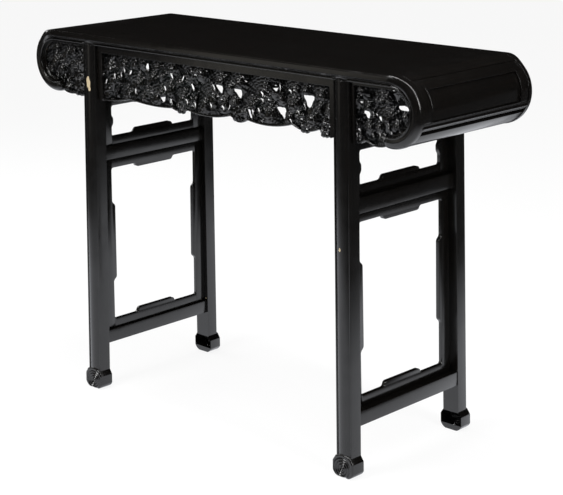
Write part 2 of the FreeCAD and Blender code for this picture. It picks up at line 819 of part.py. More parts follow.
def rosette_faces(place, rosette):
    x_share, z_share, radius_share = rosette
    centre = place(x_share, z_share)
    radius = radius_share * field_height
    faces = [disc_face(centre, radius * rosette_heart_share)]
    for petal in range(petals_per_rosette):
        place_of_petal = polar(centre, radius * petal_reach_share, band_top_angle + petal * petal_angle)
        faces.append(disc_face(place_of_petal, radius * petal_radius_share))
    return faces


def raised(face, front_y, back_y):
    """Solids from a drawn face, between two planes of the front apron."""
    moved = face.copy()
    moved.translate(y_axis * -front_y)
    return [piece.extrude(y_axis * (front_y - back_y)) for piece in moved.Faces]


def carved_bay(outline, window, place, heads, rosettes, stems, taken):
    whole = face_of(outline, "xz", 0)
    if taken:
        whole = whole.cut(taken)
    frame = whole.cut(face_of(window, "xz", 0))
    above = whole.copy()
    above.translate(z_axis * border_width)
    carved = whole.cut(frame)
    drawn = [head_faces(place, head) for head in heads]
    discs = [disc for disc, ridges in drawn]
    ground = list(discs)
    relief = [whole.cut(above)]
    for order, (disc, ridges) in enumerate(drawn):
        in_front = discs[order + 1:]
        relief.extend(ridge.cut(in_front) for ridge in ridges)
    for rosette in rosettes:
        relief.extend(face.common(carved) for face in rosette_faces(place, rosette))
    for stem in stems:
        ground.extend(stem_faces(place, stem))
    solids = raised(frame, apron_face_y + fascia_proud, apron_back_y)
    for face in ground:
        solids.extend(raised(face.common(whole), ground_face_y, apron_back_y))
    for face in relief:
        solids.extend(raised(face.common(whole), apron_face_y, apron_back_y))
    carving = united(solids)
    return max(carving.Solids, key=lambda solid: solid.Volume)


def long_apron():
    carving = carved_bay(long_outline(), long_window(), long_place, long_head_shares,
                         long_rosette_shares, long_stem_shares, None)
    tongue = long_tongue(0)
    return united([carving, tongue, mirrored_x(tongue)])


def end_bay():
    carving = carved_bay(end_outline(), end_window(), end_place, end_head_shares,
                         end_rosette_shares, end_stem_shares, end_band_space())
    return united([carving, end_tongue(0)])


# Assembly

def add_top():
    parts["top_panel"] = panel_block(0)
    rail = front_rail()
    parts["top_front_rail"] = rail
    parts["top_rear_rail"] = mirrored_y(rail)
    end_rail = right_end_rail()
    parts["top_right_end_rail"] = end_rail
    parts["top_left_end_rail"] = mirrored_x(end_rail)
    for name, place in (("left", -batten_spacing), ("centre", 0), ("right", batten_spacing)):
        parts["batten_" + name] = batten(place)


def add_pair(name, right_shape):
    parts[name + "_right"] = right_shape
    parts[name + "_left"] = mirrored_x(right_shape)


def add_scroll_ends():
    band = rear_band()
    stile = rear_end_stile()
    add_pair("scroll_band_rear", band)
    add_pair("scroll_band_front", mirrored_y(band))
    add_pair("end_stile_rear", stile)
    add_pair("end_stile_front", mirrored_y(stile))
    add_pair("end_upper_rail", end_upper_rail())
    add_pair("end_lower_rail", end_lower_rail())
    add_pair("end_panel", end_panel())
    add_pair("scroll_lip", scroll_lip())


def add_side_frames():
    leg = front_right_leg()
    add_pair("leg_front", leg)
    add_pair("leg_rear", mirrored_y(leg))
    above = box((0, scroll_axis_x), (-half_depth, half_depth), (edge_bottom, 2 * table_height))
    for name, sizes in rail_sizes.items():
        add_pair(name, lean_frame(side_rail(*sizes)).cut(above))
    for name, shape in frame_strips().items():
        add_pair(name, lean_frame(shape))


def add_aprons():
    apron = long_apron()
    bay = end_bay()
    parts["apron_front"] = apron
    parts["apron_rear"] = turned_half(apron)
    parts["end_bay_front_right"] = bay
    parts["end_bay_front_left"] = mirrored_x(bay)
    parts["end_bay_rear_left"] = turned_half(bay)
    parts["end_bay_rear_right"] = turned_half(mirrored_x(bay))


add_top()
add_scroll_ends()
add_side_frames()
add_aprons()

os.makedirs("parts", exist_ok=True)
for node, shape in parts.items():
    shape.exportStep(os.path.join("parts", node + ".step"))
    print(node, len(shape.Solids), shape.isValid(), round(shape.Volume))
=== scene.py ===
import math

import bmesh
import bpy
import numpy as np
from mathutils import Matrix, Vector


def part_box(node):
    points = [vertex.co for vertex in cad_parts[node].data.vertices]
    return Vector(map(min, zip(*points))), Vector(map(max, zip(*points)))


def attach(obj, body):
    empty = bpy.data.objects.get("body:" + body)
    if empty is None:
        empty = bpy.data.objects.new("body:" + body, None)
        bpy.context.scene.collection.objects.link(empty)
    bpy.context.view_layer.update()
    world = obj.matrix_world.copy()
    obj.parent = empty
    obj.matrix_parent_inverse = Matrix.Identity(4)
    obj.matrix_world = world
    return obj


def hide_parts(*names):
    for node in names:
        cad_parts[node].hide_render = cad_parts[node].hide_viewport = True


# An altar table of black lacquered hardwood, dressed over its solid model. X runs along the table, the
# front faces -Y and the floor is z = 0. Sizes are given in millimetres and kept in metres.

bl_info = {
    "name": "Altar Table",
    "version": (1, 0, 0),
    "blender": (4, 5, 0),
    "location": "3D View > Sidebar > Altar Table",
    "description": "Models and finishes an altar table around its solid model",
    "category": "Add Mesh",
}

MM = 0.001
BODY = "root"
SIDES = {"left": -1, "right": 1}
DEPTHS = {"front": -1, "rear": 1}
ORIGIN = Vector((0, 0, 0))
FULL_TURN = 2 * math.pi
MERGE_DISTANCE = 0.02 * MM
WHITE = (1, 1, 1)

# A reach so long that it limits nothing
FAR = 1

# Names of the finishes
ALONG = "Lacquer, grain along"
ACROSS = "Lacquer, grain across"
UPRIGHT = "Lacquer, grain upright"
CARVED = "Lacquered carving"
BATTEN = "Stained batten wood"

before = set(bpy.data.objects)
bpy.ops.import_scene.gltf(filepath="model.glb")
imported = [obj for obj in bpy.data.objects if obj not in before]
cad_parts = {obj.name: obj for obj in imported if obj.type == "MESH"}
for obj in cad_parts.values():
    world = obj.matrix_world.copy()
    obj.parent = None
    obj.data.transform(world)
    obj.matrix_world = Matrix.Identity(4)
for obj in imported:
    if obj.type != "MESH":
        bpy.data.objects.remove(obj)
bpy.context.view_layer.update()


def linear(code):
    """Linear colour from an sRGB hex value."""
    values = [int(code[place:place + 2], 16) / 255 for place in (1, 3, 5)]
    return [v / 12.92 if v <= 0.04045 else ((v + 0.055) / 1.055) ** 2.4 for v in values]


def length(name, millimetres, description):
    return bpy.props.FloatProperty(
        name=name, description=description, default=millimetres * MM, precision=4,
        subtype="DISTANCE", unit="LENGTH")


def angle(name, degrees, description):
    return bpy.props.FloatProperty(
        name=name, description=description, default=math.radians(degrees), subtype="ANGLE",
        unit="ROTATION")


def colour(name, code, description):
    return bpy.props.FloatVectorProperty(
        name=name, description=description, default=linear(code), size=3, min=0, max=1,
        subtype="COLOR")


class TopSizes(bpy.types.PropertyGroup):
    edge_height: length("Edge height", 24, "Height of the moulded edge")
    edge_arris_radius: length("Arris radius", 0.8, "Rounding of the top arris")
    edge_arris_inset: length("Arris inset", 2.5, "How far the top arris stands behind the swell")
    edge_foot_inset: length("Foot inset", 9.5, "How far the foot of the moulding stands behind its swell")
    edge_swell: bpy.props.FloatProperty(name="Face swell", description="Swell of the face between its "
                                        "lip and its arris, as a share of its height", default=0.07)
    edge_lip_height: length("Lip height", 11.5, "Height of the lip under the swell above its foot")
    edge_lip_inset: length("Lip inset", 0.1, "How far the lip stands behind the swell")
    edge_bead_height: length("Bead height", 4, "Height of the bead under the swell")
    edge_bead_swell: length("Bead swell", 2, "How far the bead stands out from the foot")
    edge_rail_width: length("Edge rail width", 62, "Width of the front and rear rails")
    board_thickness: length("Board thickness", 18, "Thickness of the top inside its edge")
    tongue_length: length("Tongue length", 8, "Length of the tongue around the top panel")
    shoulder_height: length("Shoulder height", 14, "How far the ridge of a leg runs up the edge")
    shoulder_blend: length("Shoulder blend", 1, "Softness of the meeting of ridge and moulding")
    scroll_axis_x: length("Scroll axis", 505, "Where the axis of a scroll end stands")
    scroll_radius: length("Scroll radius", 72, "Outer radius of a scroll end")
    band_thickness: length("Band thickness", 26, "Width of a scroll band from front to back")
    band_end: angle("Band end", -97, "Angle at which a scroll band ends")
    band_arris_radius: length("Band arris radius", 11, "Rounding of a band's outer arris")
    band_arris_inset: length("Band arris inset", 8.7, "How far a band's arris stands behind the swell")
    band_lip_height: length("Band lip height", 7, "Where the flat face of a band starts")
    band_lip_inset: length("Band lip inset", 8.7, "How far the flat face stands behind the swell")
    band_turn: angle("Band turn", 48, "Turn over which the moulding flattens into a band's face")
    crease: angle("Crease", 60, "Angle at which the flat top's end meets the end board")
    panel_top: angle("Panel top", 40, "Upper edge of the end panel")
    panel_bottom: angle("Panel bottom", -14, "Lower edge of the end panel")
    bead_angle: angle("End bead", -21, "Place of the thick bead under the end panel")
    groove_top: angle("Groove top", -27, "Upper edge of the dark groove")
    groove_bottom: angle("Groove bottom", -35, "Lower edge of the dark groove")
    groove_depth: length("Groove depth", 6, "Depth of the dark groove")
    end_bead_radius: length("End bead radius", 3, "Radius of the thick bead")
    board_inset: length("End board inset", 1, "How far the end board lies below the bands")
    panel_inset: length("Panel inset", 2.5, "How far the end panel lies below its frame")
    panel_half_depth: length("Panel half depth", 142, "Half the end panel's width")
    panel_thickness: length("Panel thickness", 12, "Thickness of the end panel")
    panel_bead_radius: length("Panel bead radius", 1.5, "Radius of the bead around the end panel")


class LegSizes(bpy.types.PropertyGroup):
    leg_x: length("Leg place", 379.1, "Middle of a leg at the top, along the table")
    corner_y: length("Leg corner", 179.2, "Front corner of a leg at the top")
    width: length("Leg width", 41, "Width of a leg along the table")
    depth: length("Leg depth", 28, "Depth of a leg without its swell")
    swell: length("Leg swell", 6.5, "How far the front of a leg swells")
    bead_width: length("Leg bead", 4, "Width of the bead on each corner of a leg")
    lean_along: angle("Lean along", 1.0, "How far the legs splay along the table")
    lean_across: angle("Lean across", 0.7, "How far the legs splay from front to back")
    foot_width: length("Foot width", 56, "Width of a foot")
    foot_top: length("Foot top", 44, "Height of a foot's neck")
    foot_arch: length("Foot arch", 6, "How far the top of a foot's front rises in the middle")
    foot_step: length("Foot step", 2.2, "How far the front of a leg draws back down to its foot")
    foot_side_top: length("Foot side top", 33, "Top of a foot's upright side")
    foot_side_bottom: length("Foot side bottom", 12, "Bottom of a foot's upright side")
    sole_width: length("Sole width", 28, "Width of the sole")
    foot_curve_x: length("Sole curve place", 22.5, "Where the curve under a foot passes")
    foot_curve_z: length("Sole curve height", 4.5, "How high the curve under a foot passes")
    volute_x: length("Volute place", -2, "Centre of the volute, from the middle of the foot")
    volute_z: length("Volute height", 19, "Height of the volute's centre")
    volute_radius: length("Volute radius", 22, "Outer radius of the volute")
    volute_pitch: length("Volute pitch", 6, "Step from one turn of the volute to the next")
    volute_depth: length("Volute depth", 2.6, "Depth of the volute's grooves")
    arris: length("Rail arris", 0.7, "Rounding of the rails' edges")


class CarvingSizes(bpy.types.PropertyGroup):
    face_y: length("Carving face", 172, "Plane of the carving's highest ridges")
    proud: length("Fascia proud", 3, "How far the plain border stands in front of that plane")
    height: length("Carved height", 122, "Height of a carved board")
    carved_thickness: length("Carved thickness", 9, "Thickness of the board where it is pierced")
    undercut: length("Undercut", 2.2, "How far the back of each gap is opened out")
    scallop: length("Scallop", 14, "Height that the shares of the lower edge follow")
    long_fascia: length("Long fascia", 17, "Plain strip above the long carving")
    long_stile: length("Long stile", 16, "Plain strip beside each leg")
    end_fascia: length("End fascia", 7, "Plain strip above an end carving")
    end_stile: length("End stile", 8, "Plain strip between leg and end carving")
    border: length("Border", 5, "Width of the bead along the lower edge")
    ridge_pitch: length("Ridge pitch", 7.2, "Step from one carved ridge to the next")
    ridge_depth: length("Ridge depth", 3.2, "Depth of the grooves between the ridges")
    lobe_pitch: length("Lobe pitch", 13, "Step from one small wave of a ridge to the next")
    lobe_depth: length("Lobe depth", 1.1, "Height of the small waves of a ridge")
    ground: length("Ground", 6.9, "Mean depth of the ground between the carved forms")
    ground_wave: length("Ground wave", 1.3, "Height of the waves cut in the ground")
    ground_pitch: length("Ground pitch", 8, "Step from one wave of the ground to the next")
    dome: length("Dome", 4.5, "How far the middle of a cloud head stands above its rim")
    rim_fall: length("Rim fall", 2.4, "How far a cloud head drops at its rim")
    rim_width: length("Rim width", 1.8, "Width over which a cloud head drops")
    hollow_depth: length("Hollow depth", 1.6, "Depth of the hollow behind a cloud head's ribbons")
    eye_height: length("Eye height", 1.5, "Height of a cloud head's eye")
    pearl_height: length("Pearl height", 1.3, "Height of the pearls round the eye")
    layer: length("Layer", 2.5, "Step from the rearmost to the foremost heads")
    stem_width: length("Stem width", 7, "Width of a stem")
    tip_bow: length("Tip bow", 1.5, "How far a leaf tip bows")
    tip_level: length("Tip level", 1.2, "Depth of a leaf tip's middle")
    tip_slope_x: bpy.props.FloatProperty(name="Tip slope along", description="Fall of a leaf tip's cut face "
                                         "to the right, as a ratio", default=0.36)
    tip_slope_z: bpy.props.FloatProperty(name="Tip slope up", description="Fall of a leaf tip's cut face "
                                         "upwards, as a ratio", default=0.58)
    tip_radius: length("Tip radius", 60, "Radius of the slight swell of a leaf tip's cut face")
    tip_rim_fall: length("Tip rim fall", 1.2, "How far a leaf tip drops at its rim")
    tip_rim_width: length("Tip rim width", 0.8, "Width over which a leaf tip drops")
    rosette_level: length("Rosette level", 3.6, "Depth of a rosette's petals")
    rosette_rim_fall: length("Rosette rim fall", 2.4, "How far a rosette drops at its rim")
    rosette_rim_width: length("Rosette rim width", 1.5, "Width over which a rosette drops")
    petal_rise: length("Petal rise", 2.2, "How far the middle of a petal stands out")
    petal_ripple: length("Petal ripple", 0.5, "Height of the ripples at a petal's end")
    heart_height: length("Heart height", 2.2, "Height of a rosette's heart")
    brink_fall: length("Brink fall", 1.6, "How far the carving drops at its edges and gaps")
    brink_width: length("Brink width", 1.5, "Width over which the carving drops there")
    border_height: length("Border height", 3.6, "Height of the bead along the lower edge")
    least_wood: length("Least wood", 0.8, "Wood left where the carving is deepest")
    sunk: length("Sunk", 0.5, "How far the carving's highest places stay below the plain border")
    cell: length("Cell", 1.0, "Fineness of the carved mesh")


class Finishes(bpy.types.PropertyGroup):
    lacquer: colour("Lacquer", "#0B0A09", "Black lacquer")
    lacquer_brown: colour("Thin lacquer", "#100D0B", "Lacquer where it lies thin over the grain")
    worn: colour("Worn edge", "#5A4A38", "Wood that shows at rubbed edges")
    # Painted shade: a near-black colour laid into the bottom of the carving to stand in for the shade there
    painted_recess_shade: colour("Recess", "#030303", "Lacquer in the bottom of the carving, thick and never rubbed")
    inner: colour("Inner wood", "#2A1E16", "Stained wood under the top")
    chip: colour("Chip", "#B9A888", "Bare wood at a chip")
    floor: colour("Floor", "#F4F4F4", "Pale floor")


def top_sizes():
    return bpy.context.scene.altar_top


def leg_sizes():
    return bpy.context.scene.altar_legs


def carving_sizes():
    return bpy.context.scene.altar_carving


def finishes():
    return bpy.context.scene.altar_finishes


# Materials

def add_node(material, kind, settings=None, links=None):
    node = material.node_tree.nodes.new("ShaderNode" + kind)
    for name, value in (settings or {}).items():
        if isinstance(name, str) and hasattr(node, name):
            setattr(node, name, value)
        else:
            node.inputs[name].default_value = value
    for name, source in (links or {}).items():
        material.node_tree.links.new(source, node.inputs[name])
    return node


def new_material(name):
    material = bpy.data.materials.new(name)
    material.use_nodes = True
    material.node_tree.nodes.clear()
    return material


def rgba(value):
    return (*value, 1)


def grain_pores(material, place, grain):
    """Pores of the wood along its grain. They are drawn coarser than they are, so that they show."""
    grain_length = 90 * MM
    grain_width = 2.2 * MM
    steps = [1 / grain_width] * 3
    steps[grain] = 1 / grain_length
    stretched = add_node(material, "Mapping", {"Scale": steps}, {"Vector": place}).outputs[0]
    return add_node(material, "TexNoise", {"Scale": 1, "Detail": 3}, {"Vector": stretched}).outputs[0]


def rubbed(material, rounded, ragged):
    """Where the arrises are rubbed through to the wood: ragged patches where the surface turns."""
    flat = add_node(material, "NewGeometry").outputs["True Normal"]
    turning = add_node(material, "VectorMath", {"operation": "DOT_PRODUCT"}, {0: rounded, 1: flat})
    edge = add_node(material, "MapRange", {"From Min": 0.97, "From Max": 0.8},
                    {"Value": turning.outputs["Value"]}).outputs[0]
    patch = add_node(material, "MapRange", {"From Min": 0.62, "From Max": 0.72, "To Max": 0.35},
                     {"Value": ragged}).outputs[0]
    return add_node(material, "Math", {"operation": "MULTIPLY"}, {0: edge, 1: patch}).outputs[0]


def tool_marks(material, place, depth, normal):
    """Shallow marks of the gouge, which fade out towards the plain borders."""
    cut_size = 5 * MM
    cut_depth = 1 * MM
    cuts = add_node(material, "TexNoise", {"Scale": 1 / cut_size, "Detail": 1}, {"Vector": place})
    strength = add_node(material, "MapRange", {"From Min": 0, "From Max": 0.1, "To Max": 0.18},
                        {"Value": depth})
    return add_node(material, "Bump", {"Distance": cut_depth},
                    {"Strength": strength.outputs[0], "Height": cuts.outputs[0],
                     "Normal": normal}).outputs[0]


def lacquered_wood(name, grain, roughness, is_carved, is_chipped):
    """Black lacquer, brushed and rubbed over hardwood: deep and glossy, with the long grain just felt
    in the gloss and brown wood at the most rubbed arrises."""
    material = new_material(name)
    tints = finishes()
    cloud_size = 45 * MM
    wear_size = 14 * MM
    arris_radius = 1.2 * MM
    pore_depth = 0.05 * MM
    smoothest = 0.75 * roughness
    roughest = 1.3 * roughness
    bare_roughness = 0.6
    recess_roughness = 0.06
    place = add_node(material, "TexCoord").outputs["Object"]
    pores = grain_pores(material, place, grain)
    clouds = add_node(material, "TexNoise", {"Scale": 1 / cloud_size, "Detail": 4},
                      {"Vector": place}).outputs[0]
    ragged = add_node(material, "TexNoise", {"Scale": 1 / wear_size, "Detail": 6},
                      {"Vector": place}).outputs[0]
    rounded = add_node(material, "Bevel", {"samples": 4, "Radius": arris_radius}).outputs[0]
    thin = add_node(material, "MapRange", {"From Min": 0.45, "From Max": 0.8}, {"Value": pores}).outputs[0]
    tint = add_node(material, "MixRGB", {"Color1": rgba(tints.lacquer), "Color2": rgba(tints.lacquer_brown)},
                    {"Fac": thin}).outputs[0]
    gloss = add_node(material, "MapRange", {"From Min": 0.3, "From Max": 0.7, "To Min": smoothest,
                                            "To Max": roughest}, {"Value": clouds}).outputs[0]
    normal = add_node(material, "Bump", {"Strength": 0.12, "Distance": pore_depth},
                      {"Height": pores, "Normal": rounded}).outputs[0]
    layers = [(rubbed(material, rounded, ragged), tints.worn, None)]
    if is_chipped:
        layers.append((chipped(material, place, ragged), tints.chip, bare_roughness))
    if is_carved:
        # Painted shade: the deeper parts of the carving are darkened towards near black to stand in for the
        # shade in its recesses. The same mask also makes them glossier
        depth = add_node(material, "Attribute", {"attribute_name": "depth"}).outputs["Fac"]
        painted_shade = add_node(material, "MapRange", {"From Min": 0.1, "From Max": 0.5}, {"Value": depth})
        layers.append((painted_shade.outputs[0], tints.painted_recess_shade, recess_roughness))
        normal = tool_marks(material, place, depth, normal)
    for share, layer_tint, layer_roughness in layers:
        tint = add_node(material, "MixRGB", {"Color2": rgba(layer_tint)},
                        {"Fac": share, "Color1": tint}).outputs[0]
        if layer_roughness:
            gloss = add_node(material, "MixRGB", {"Color2": rgba([layer_roughness] * 3)},
                             {"Fac": share, "Color1": gloss}).outputs[0]
    shader = add_node(material, "BsdfPrincipled", {"IOR": 1.54},
                      {"Base Color": tint, "Roughness": gloss, "Normal": normal})
    add_node(material, "OutputMaterial", links={"Surface": shader.outputs[0]})
    return material


# Chips in the lacquer of the legs: place, and size along X, Y and Z, in millimetres
CHIPS = (
    ((-380, -184, 732), (5, 14, 12)), ((-377, -184, 716), (3, 14, 5)), ((382, -188, 478), (2, 8, 3)),
    ((405, 132, 587), (8, 3, 3)), ((-378, 150, 142), (3, 8, 3)), ((408, 141, 144), (8, 3, 4)),
    ((-365, 145, 580), (3, 8, 3)))


def chipped(material, place, ragged):
    """Where the lacquer has chipped off the legs: a few small ragged patches."""
    raggedness = 1.5
    largest = 1.9
    bare = None
    for centre, size in CHIPS:
        scale = [1 / (extent * MM) for extent in size]
        shift = [-middle / extent for middle, extent in zip(centre, size)]
        near = add_node(material, "Mapping", {"Scale": scale, "Location": shift}, {"Vector": place})
        reach = add_node(material, "VectorMath", {"operation": "LENGTH"}, {0: near.outputs[0]})
        edge = add_node(material, "Math", {"operation": "MULTIPLY_ADD", 1: -raggedness, 2: largest},
                        {0: ragged})
        patch = add_node(material, "Math", {"operation": "LESS_THAN"},
                         {0: reach.outputs["Value"], 1: edge.outputs[0]}).outputs[0]
        if bare:
            patch = add_node(material, "Math", {"operation": "MAXIMUM"}, {0: bare, 1: patch}).outputs[0]
        bare = patch
    return bare


def stained_wood():
    """Stained softwood battens, planed and left matt: only seen from below."""
    material = new_material(BATTEN)
    tints = finishes()
    ring_step = 37.7 * MM
    ring_depth = 0.2 * MM
    # A wave texture whose scale is 1 turns by 20 radians in each metre
    texture_turn = 20
    place = add_node(material, "TexCoord").outputs["Object"]
    rings = add_node(material, "TexWave", {"Scale": FULL_TURN / ring_step / texture_turn, "Distortion": 3,
                                           "Detail": 3}, {"Vector": place}).outputs[1]
    tone = add_node(material, "MixRGB", {"Color1": rgba(tints.inner), "Color2": rgba(tints.lacquer_brown)},
                    {"Fac": rings})
    bump = add_node(material, "Bump", {"Strength": 0.3, "Distance": ring_depth}, {"Height": rings})
    shader = add_node(material, "BsdfPrincipled", {"Roughness": 0.6},
                      {"Base Color": tone.outputs[0], "Normal": bump.outputs[0]})
    add_node(material, "OutputMaterial", links={"Surface": shader.outputs[0]})
    return material


# Lacquers: the grain's axis, the roughness, and whether the pieces are carved or chipped
LACQUERS = {
    ALONG: (0, 0.16, False, False),
    ACROSS: (1, 0.2, False, False),
    UPRIGHT: (2, 0.2, False, True),
    CARVED: (0, 0.14, True, False)}


def finish(name):
    """The named finish, made the first time that a piece asks for it."""
    made = bpy.data.materials.get(name)
    if made:
        return made
    return stained_wood() if name == BATTEN else lacquered_wood(name, *LACQUERS[name])


# Drawing and mesh helpers

def circle_through(first, second, third):
    """Centre and radius of the circle through three points of a plane."""
    (ax, ay), (bx, by), (cx, cy) = first, second, third
    double = 2 * (ax * (by - cy) + bx * (cy - ay) + cx * (ay - by))
    a, b, c = ax * ax + ay * ay, bx * bx + by * by, cx * cx + cy * cy
    centre = ((a * (by - cy) + b * (cy - ay) + c * (ay - by)) / double,
              (a * (cx - bx) + b * (ax - cx) + c * (bx - ax)) / double)
    return centre, math.dist(centre, first)


def arc_points(start, through, end, count):
    """Points after the start of an arc, up to its end."""
    centre, radius = circle_through(start, through, end)
    turns = [math.atan2(p[1] - centre[1], p[0] - centre[0]) for p in (start, through, end)]
    sweep = (turns[2] - turns[0]) % FULL_TURN
    if (turns[1] - turns[0]) % FULL_TURN > sweep:
        sweep -= FULL_TURN
    return [polar(centre, radius, turns[0] + sweep * step / count) for step in range(1, count + 1)]


def polar(centre, radius, turn):
    return (centre[0] + radius * math.cos(turn), centre[1] + radius * math.sin(turn))


def smooth_step(value):
    value = np.clip(value, 0, 1)
    return value * value * (3 - 2 * value)


def smooth_max(first, second, blend):
    """The larger of two heights, with a soft fillet where they cross."""
    gap = np.clip(1 - np.abs(first - second) / blend, 0, 1)
    return np.maximum(first, second) + blend * gap * gap / 4


def new_object(name, data):
    made = bpy.data.objects.new(name, data)
    bpy.context.scene.collection.objects.link(made)
    return made


def mesh_object(name, mesh, material):
    """Object made of a bmesh, which is freed."""
    data = bpy.data.meshes.new(name)
    mesh.to_mesh(data)
    mesh.free()
    data.materials.append(material)
    return new_object(name, data)


def rim_drop(reach, depth, width):
    """How far a form drops near its rim, in a quarter round."""
    return depth * (1 - np.sqrt(np.clip(reach / width, 0, 1)))


def half_round(place, power=2):
    """Section of a half-round bead, 1 high, from its middle at 0 to its edge at 1."""
    return np.sqrt(np.clip(1 - np.abs(place) ** power, 0, 1))


def loop_of(mesh, places):
    """Closed loop of edges through some places."""
    verts = [mesh.verts.new(place) for place in places]
    return [mesh.edges.new((verts[index - 1], verts[index])) for index in range(len(verts))]


def verts_of(result):
    return [item for item in result["geom"] if isinstance(item, bmesh.types.BMVert)]


def extruded_loop(places, move):
    """Closed solid from a flat outline moved along a vector."""
    mesh = bmesh.new()
    edges = loop_of(mesh, places)
    bmesh.ops.contextual_create(mesh, geom=edges)
    result = bmesh.ops.extrude_face_region(mesh, geom=list(mesh.faces), use_keep_orig=True)
    bmesh.ops.translate(mesh, verts=verts_of(result), vec=move)
    bmesh.ops.recalc_face_normals(mesh, faces=mesh.faces)
    return mesh


def slab(outline, half_width):
    """Solid from an outline in x and z, as wide to the front as to the rear."""
    return extruded_loop([(x, -half_width, z) for x, z in outline], (0, 2 * half_width, 0))


def joined(mesh, other):
    """Adds the shapes of a second mesh to a first, and frees the second."""
    data = bpy.data.meshes.new("joined")
    other.to_mesh(data)
    other.free()
    mesh.from_mesh(data)
    bpy.data.meshes.remove(data)
    return mesh


def close_up(mesh):
    """Fills the open ends of a mesh and turns its faces outwards."""
    bmesh.ops.holes_fill(mesh, edges=[e for e in mesh.edges if e.is_boundary], sides=0)
    bmesh.ops.recalc_face_normals(mesh, faces=mesh.faces)
    return mesh


def bevel_sharp(mesh, limit, width, segments):
    """Rounds the edges that turn by more than a limit."""
    edges = [e for e in mesh.edges if len(e.link_faces) == 2 and e.calc_face_angle(0) > limit]
    bmesh.ops.bevel(mesh, geom=edges, offset=width, offset_type="OFFSET", segments=segments,
                    affect="EDGES", profile=0.5, material=-1, clamp_overlap=True)


def add_piece(name, mesh, finish_name, nodes):
    """Turns a bmesh into a finished piece that stands for some nodes of the solid model."""
    crease_limit = math.radians(38)
    for face in mesh.faces:
        face.smooth = True
    for edge in mesh.edges:
        edge.smooth = len(edge.link_faces) != 2 or edge.calc_face_angle(0) < crease_limit
    piece = mesh_object(name, mesh, finish(finish_name))
    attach(piece, BODY)
    if nodes:
        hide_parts(*nodes)


def mirrored(mesh, axis):
    """Copy of a mesh on the other side of the table."""
    other = mesh.copy()
    scale = [1, 1, 1]
    scale[axis] = -1
    bmesh.ops.scale(other, vec=scale, verts=other.verts)
    bmesh.ops.reverse_faces(other, faces=other.faces)
    return other


def at_corner(mesh, side, depth):
    """Copy of a rear right piece, at the side and depth given by their signs."""
    piece = mesh.copy() if side > 0 else mirrored(mesh, 0)
    return piece if depth > 0 else mirrored(piece, 1)


def half_turned(mesh):
    other = mesh.copy()
    bmesh.ops.rotate(other, cent=ORIGIN, matrix=Matrix.Rotation(math.pi, 3, "Z"), verts=other.verts)
    return other


def table_height():
    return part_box("top_panel")[1].z


def half_depth():
    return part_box("top_rear_rail")[1].y


def edge_bottom():
    return table_height() - top_sizes().edge_height


def scroll_axis():
    """Axis of the right scroll end, in x and z."""
    return (top_sizes().scroll_axis_x, table_height() - top_sizes().scroll_radius)


def end_board_half():
    """Half the width of the end boards, which lie between the bands."""
    return half_depth() - top_sizes().band_thickness


def swell_half():
    """Half the width of a leg's swollen front, which lies between its beads."""
    return leg_sizes().width / 2 - leg_sizes().bead_width


# Top and its moulded edge

def face_section(lip_inset, lip_height, arris_inset, arris_radius):
    """Outer part of the edge's section from its foot to its arris, as y across and height from the foot:
    a bead, a sloping underside up to a lip, then a slightly swelling face."""
    s = top_sizes()
    bead_steps = 6
    slope_steps = 6
    face_steps = 12
    arris_steps = 6
    foot = Vector((half_depth() - s.edge_foot_inset, 0))
    bead_top = foot + Vector((0, s.edge_bead_height))
    bead_mid = foot + Vector((s.edge_bead_swell, s.edge_bead_height / 2))
    lip = Vector((half_depth() - lip_inset, lip_height))
    centre = Vector((half_depth() - arris_inset - arris_radius, s.edge_height - arris_radius))
    arris = centre + Vector((arris_radius, 0))
    across = (arris - lip).normalized()
    swell = s.edge_swell * (arris - lip).length
    middle = (lip + arris) / 2 + swell * Vector((across.y, -across.x))
    points = [tuple(foot)]
    points += arc_points(foot, bead_mid, bead_top, bead_steps)
    points += [tuple(bead_top.lerp(lip, step / slope_steps)) for step in range(1, slope_steps + 1)]
    points += arc_points(lip, middle, arris, face_steps)
    points += [polar(centre, arris_radius, math.pi / 2 * step / arris_steps)
               for step in range(1, arris_steps + 1)]
    return points


def moulding_section():
    s = top_sizes()
    return face_section(s.edge_lip_inset, s.edge_lip_height, s.edge_arris_inset, s.edge_arris_radius)


def band_section():
    s = top_sizes()
    return face_section(s.band_lip_inset, s.band_lip_height, s.band_arris_inset, s.band_arris_radius)


def leg_centre_x(z):
    s = leg_sizes()
    return s.leg_x + math.tan(s.lean_along) * (table_height() - z)


def leg_front(offset, z):
    """How far out the swollen front of a leg stands, at an offset from its middle."""
    s = leg_sizes()
    farthest = 1.3
    rise = s.swell * (1 - np.clip(np.abs(offset) / swell_half(), 0, farthest) ** 2)
    return s.corner_y + math.tan(s.lean_across) * (table_height() - z) + rise


def edge_rail_mesh():
    """Rear rail: its section run along the table, with the ridges of the legs worked into it."""
    s = top_sizes()
    column_width = 2 * MM
    slack = 1 * MM
    inner_y = half_depth() - s.edge_rail_width
    low = edge_bottom()
    section = [(inner_y, 0), *moulding_section(), (inner_y, s.edge_height)]
    mesh = extruded_loop([(-s.scroll_axis_x, y, low + z) for y, z in section],
                         (2 * s.scroll_axis_x, 0, 0))
    along = [e for e in mesh.edges if abs(e.verts[0].co.x - e.verts[1].co.x) > s.scroll_axis_x]
    bmesh.ops.subdivide_edges(mesh, edges=along, cuts=round(2 * s.scroll_axis_x / column_width),
                              use_grid_fill=True)
    foot_y = half_depth() - s.edge_foot_inset
    for vert in mesh.verts:
        x, y, z = vert.co
        if y < foot_y - slack or z > low + s.shoulder_height:
            continue
        offset = abs(x) - leg_centre_x(z)
        if abs(offset) < swell_half() and z < low + s.edge_bead_height:
            y = min(y, foot_y)
        vert.co.y = float(smooth_max(y, leg_front(offset, z), s.shoulder_blend))
    return mesh


def polar_x(radius, turn):
    """Point of the right scroll end, in x and z."""
    return polar(scroll_axis(), radius, turn)


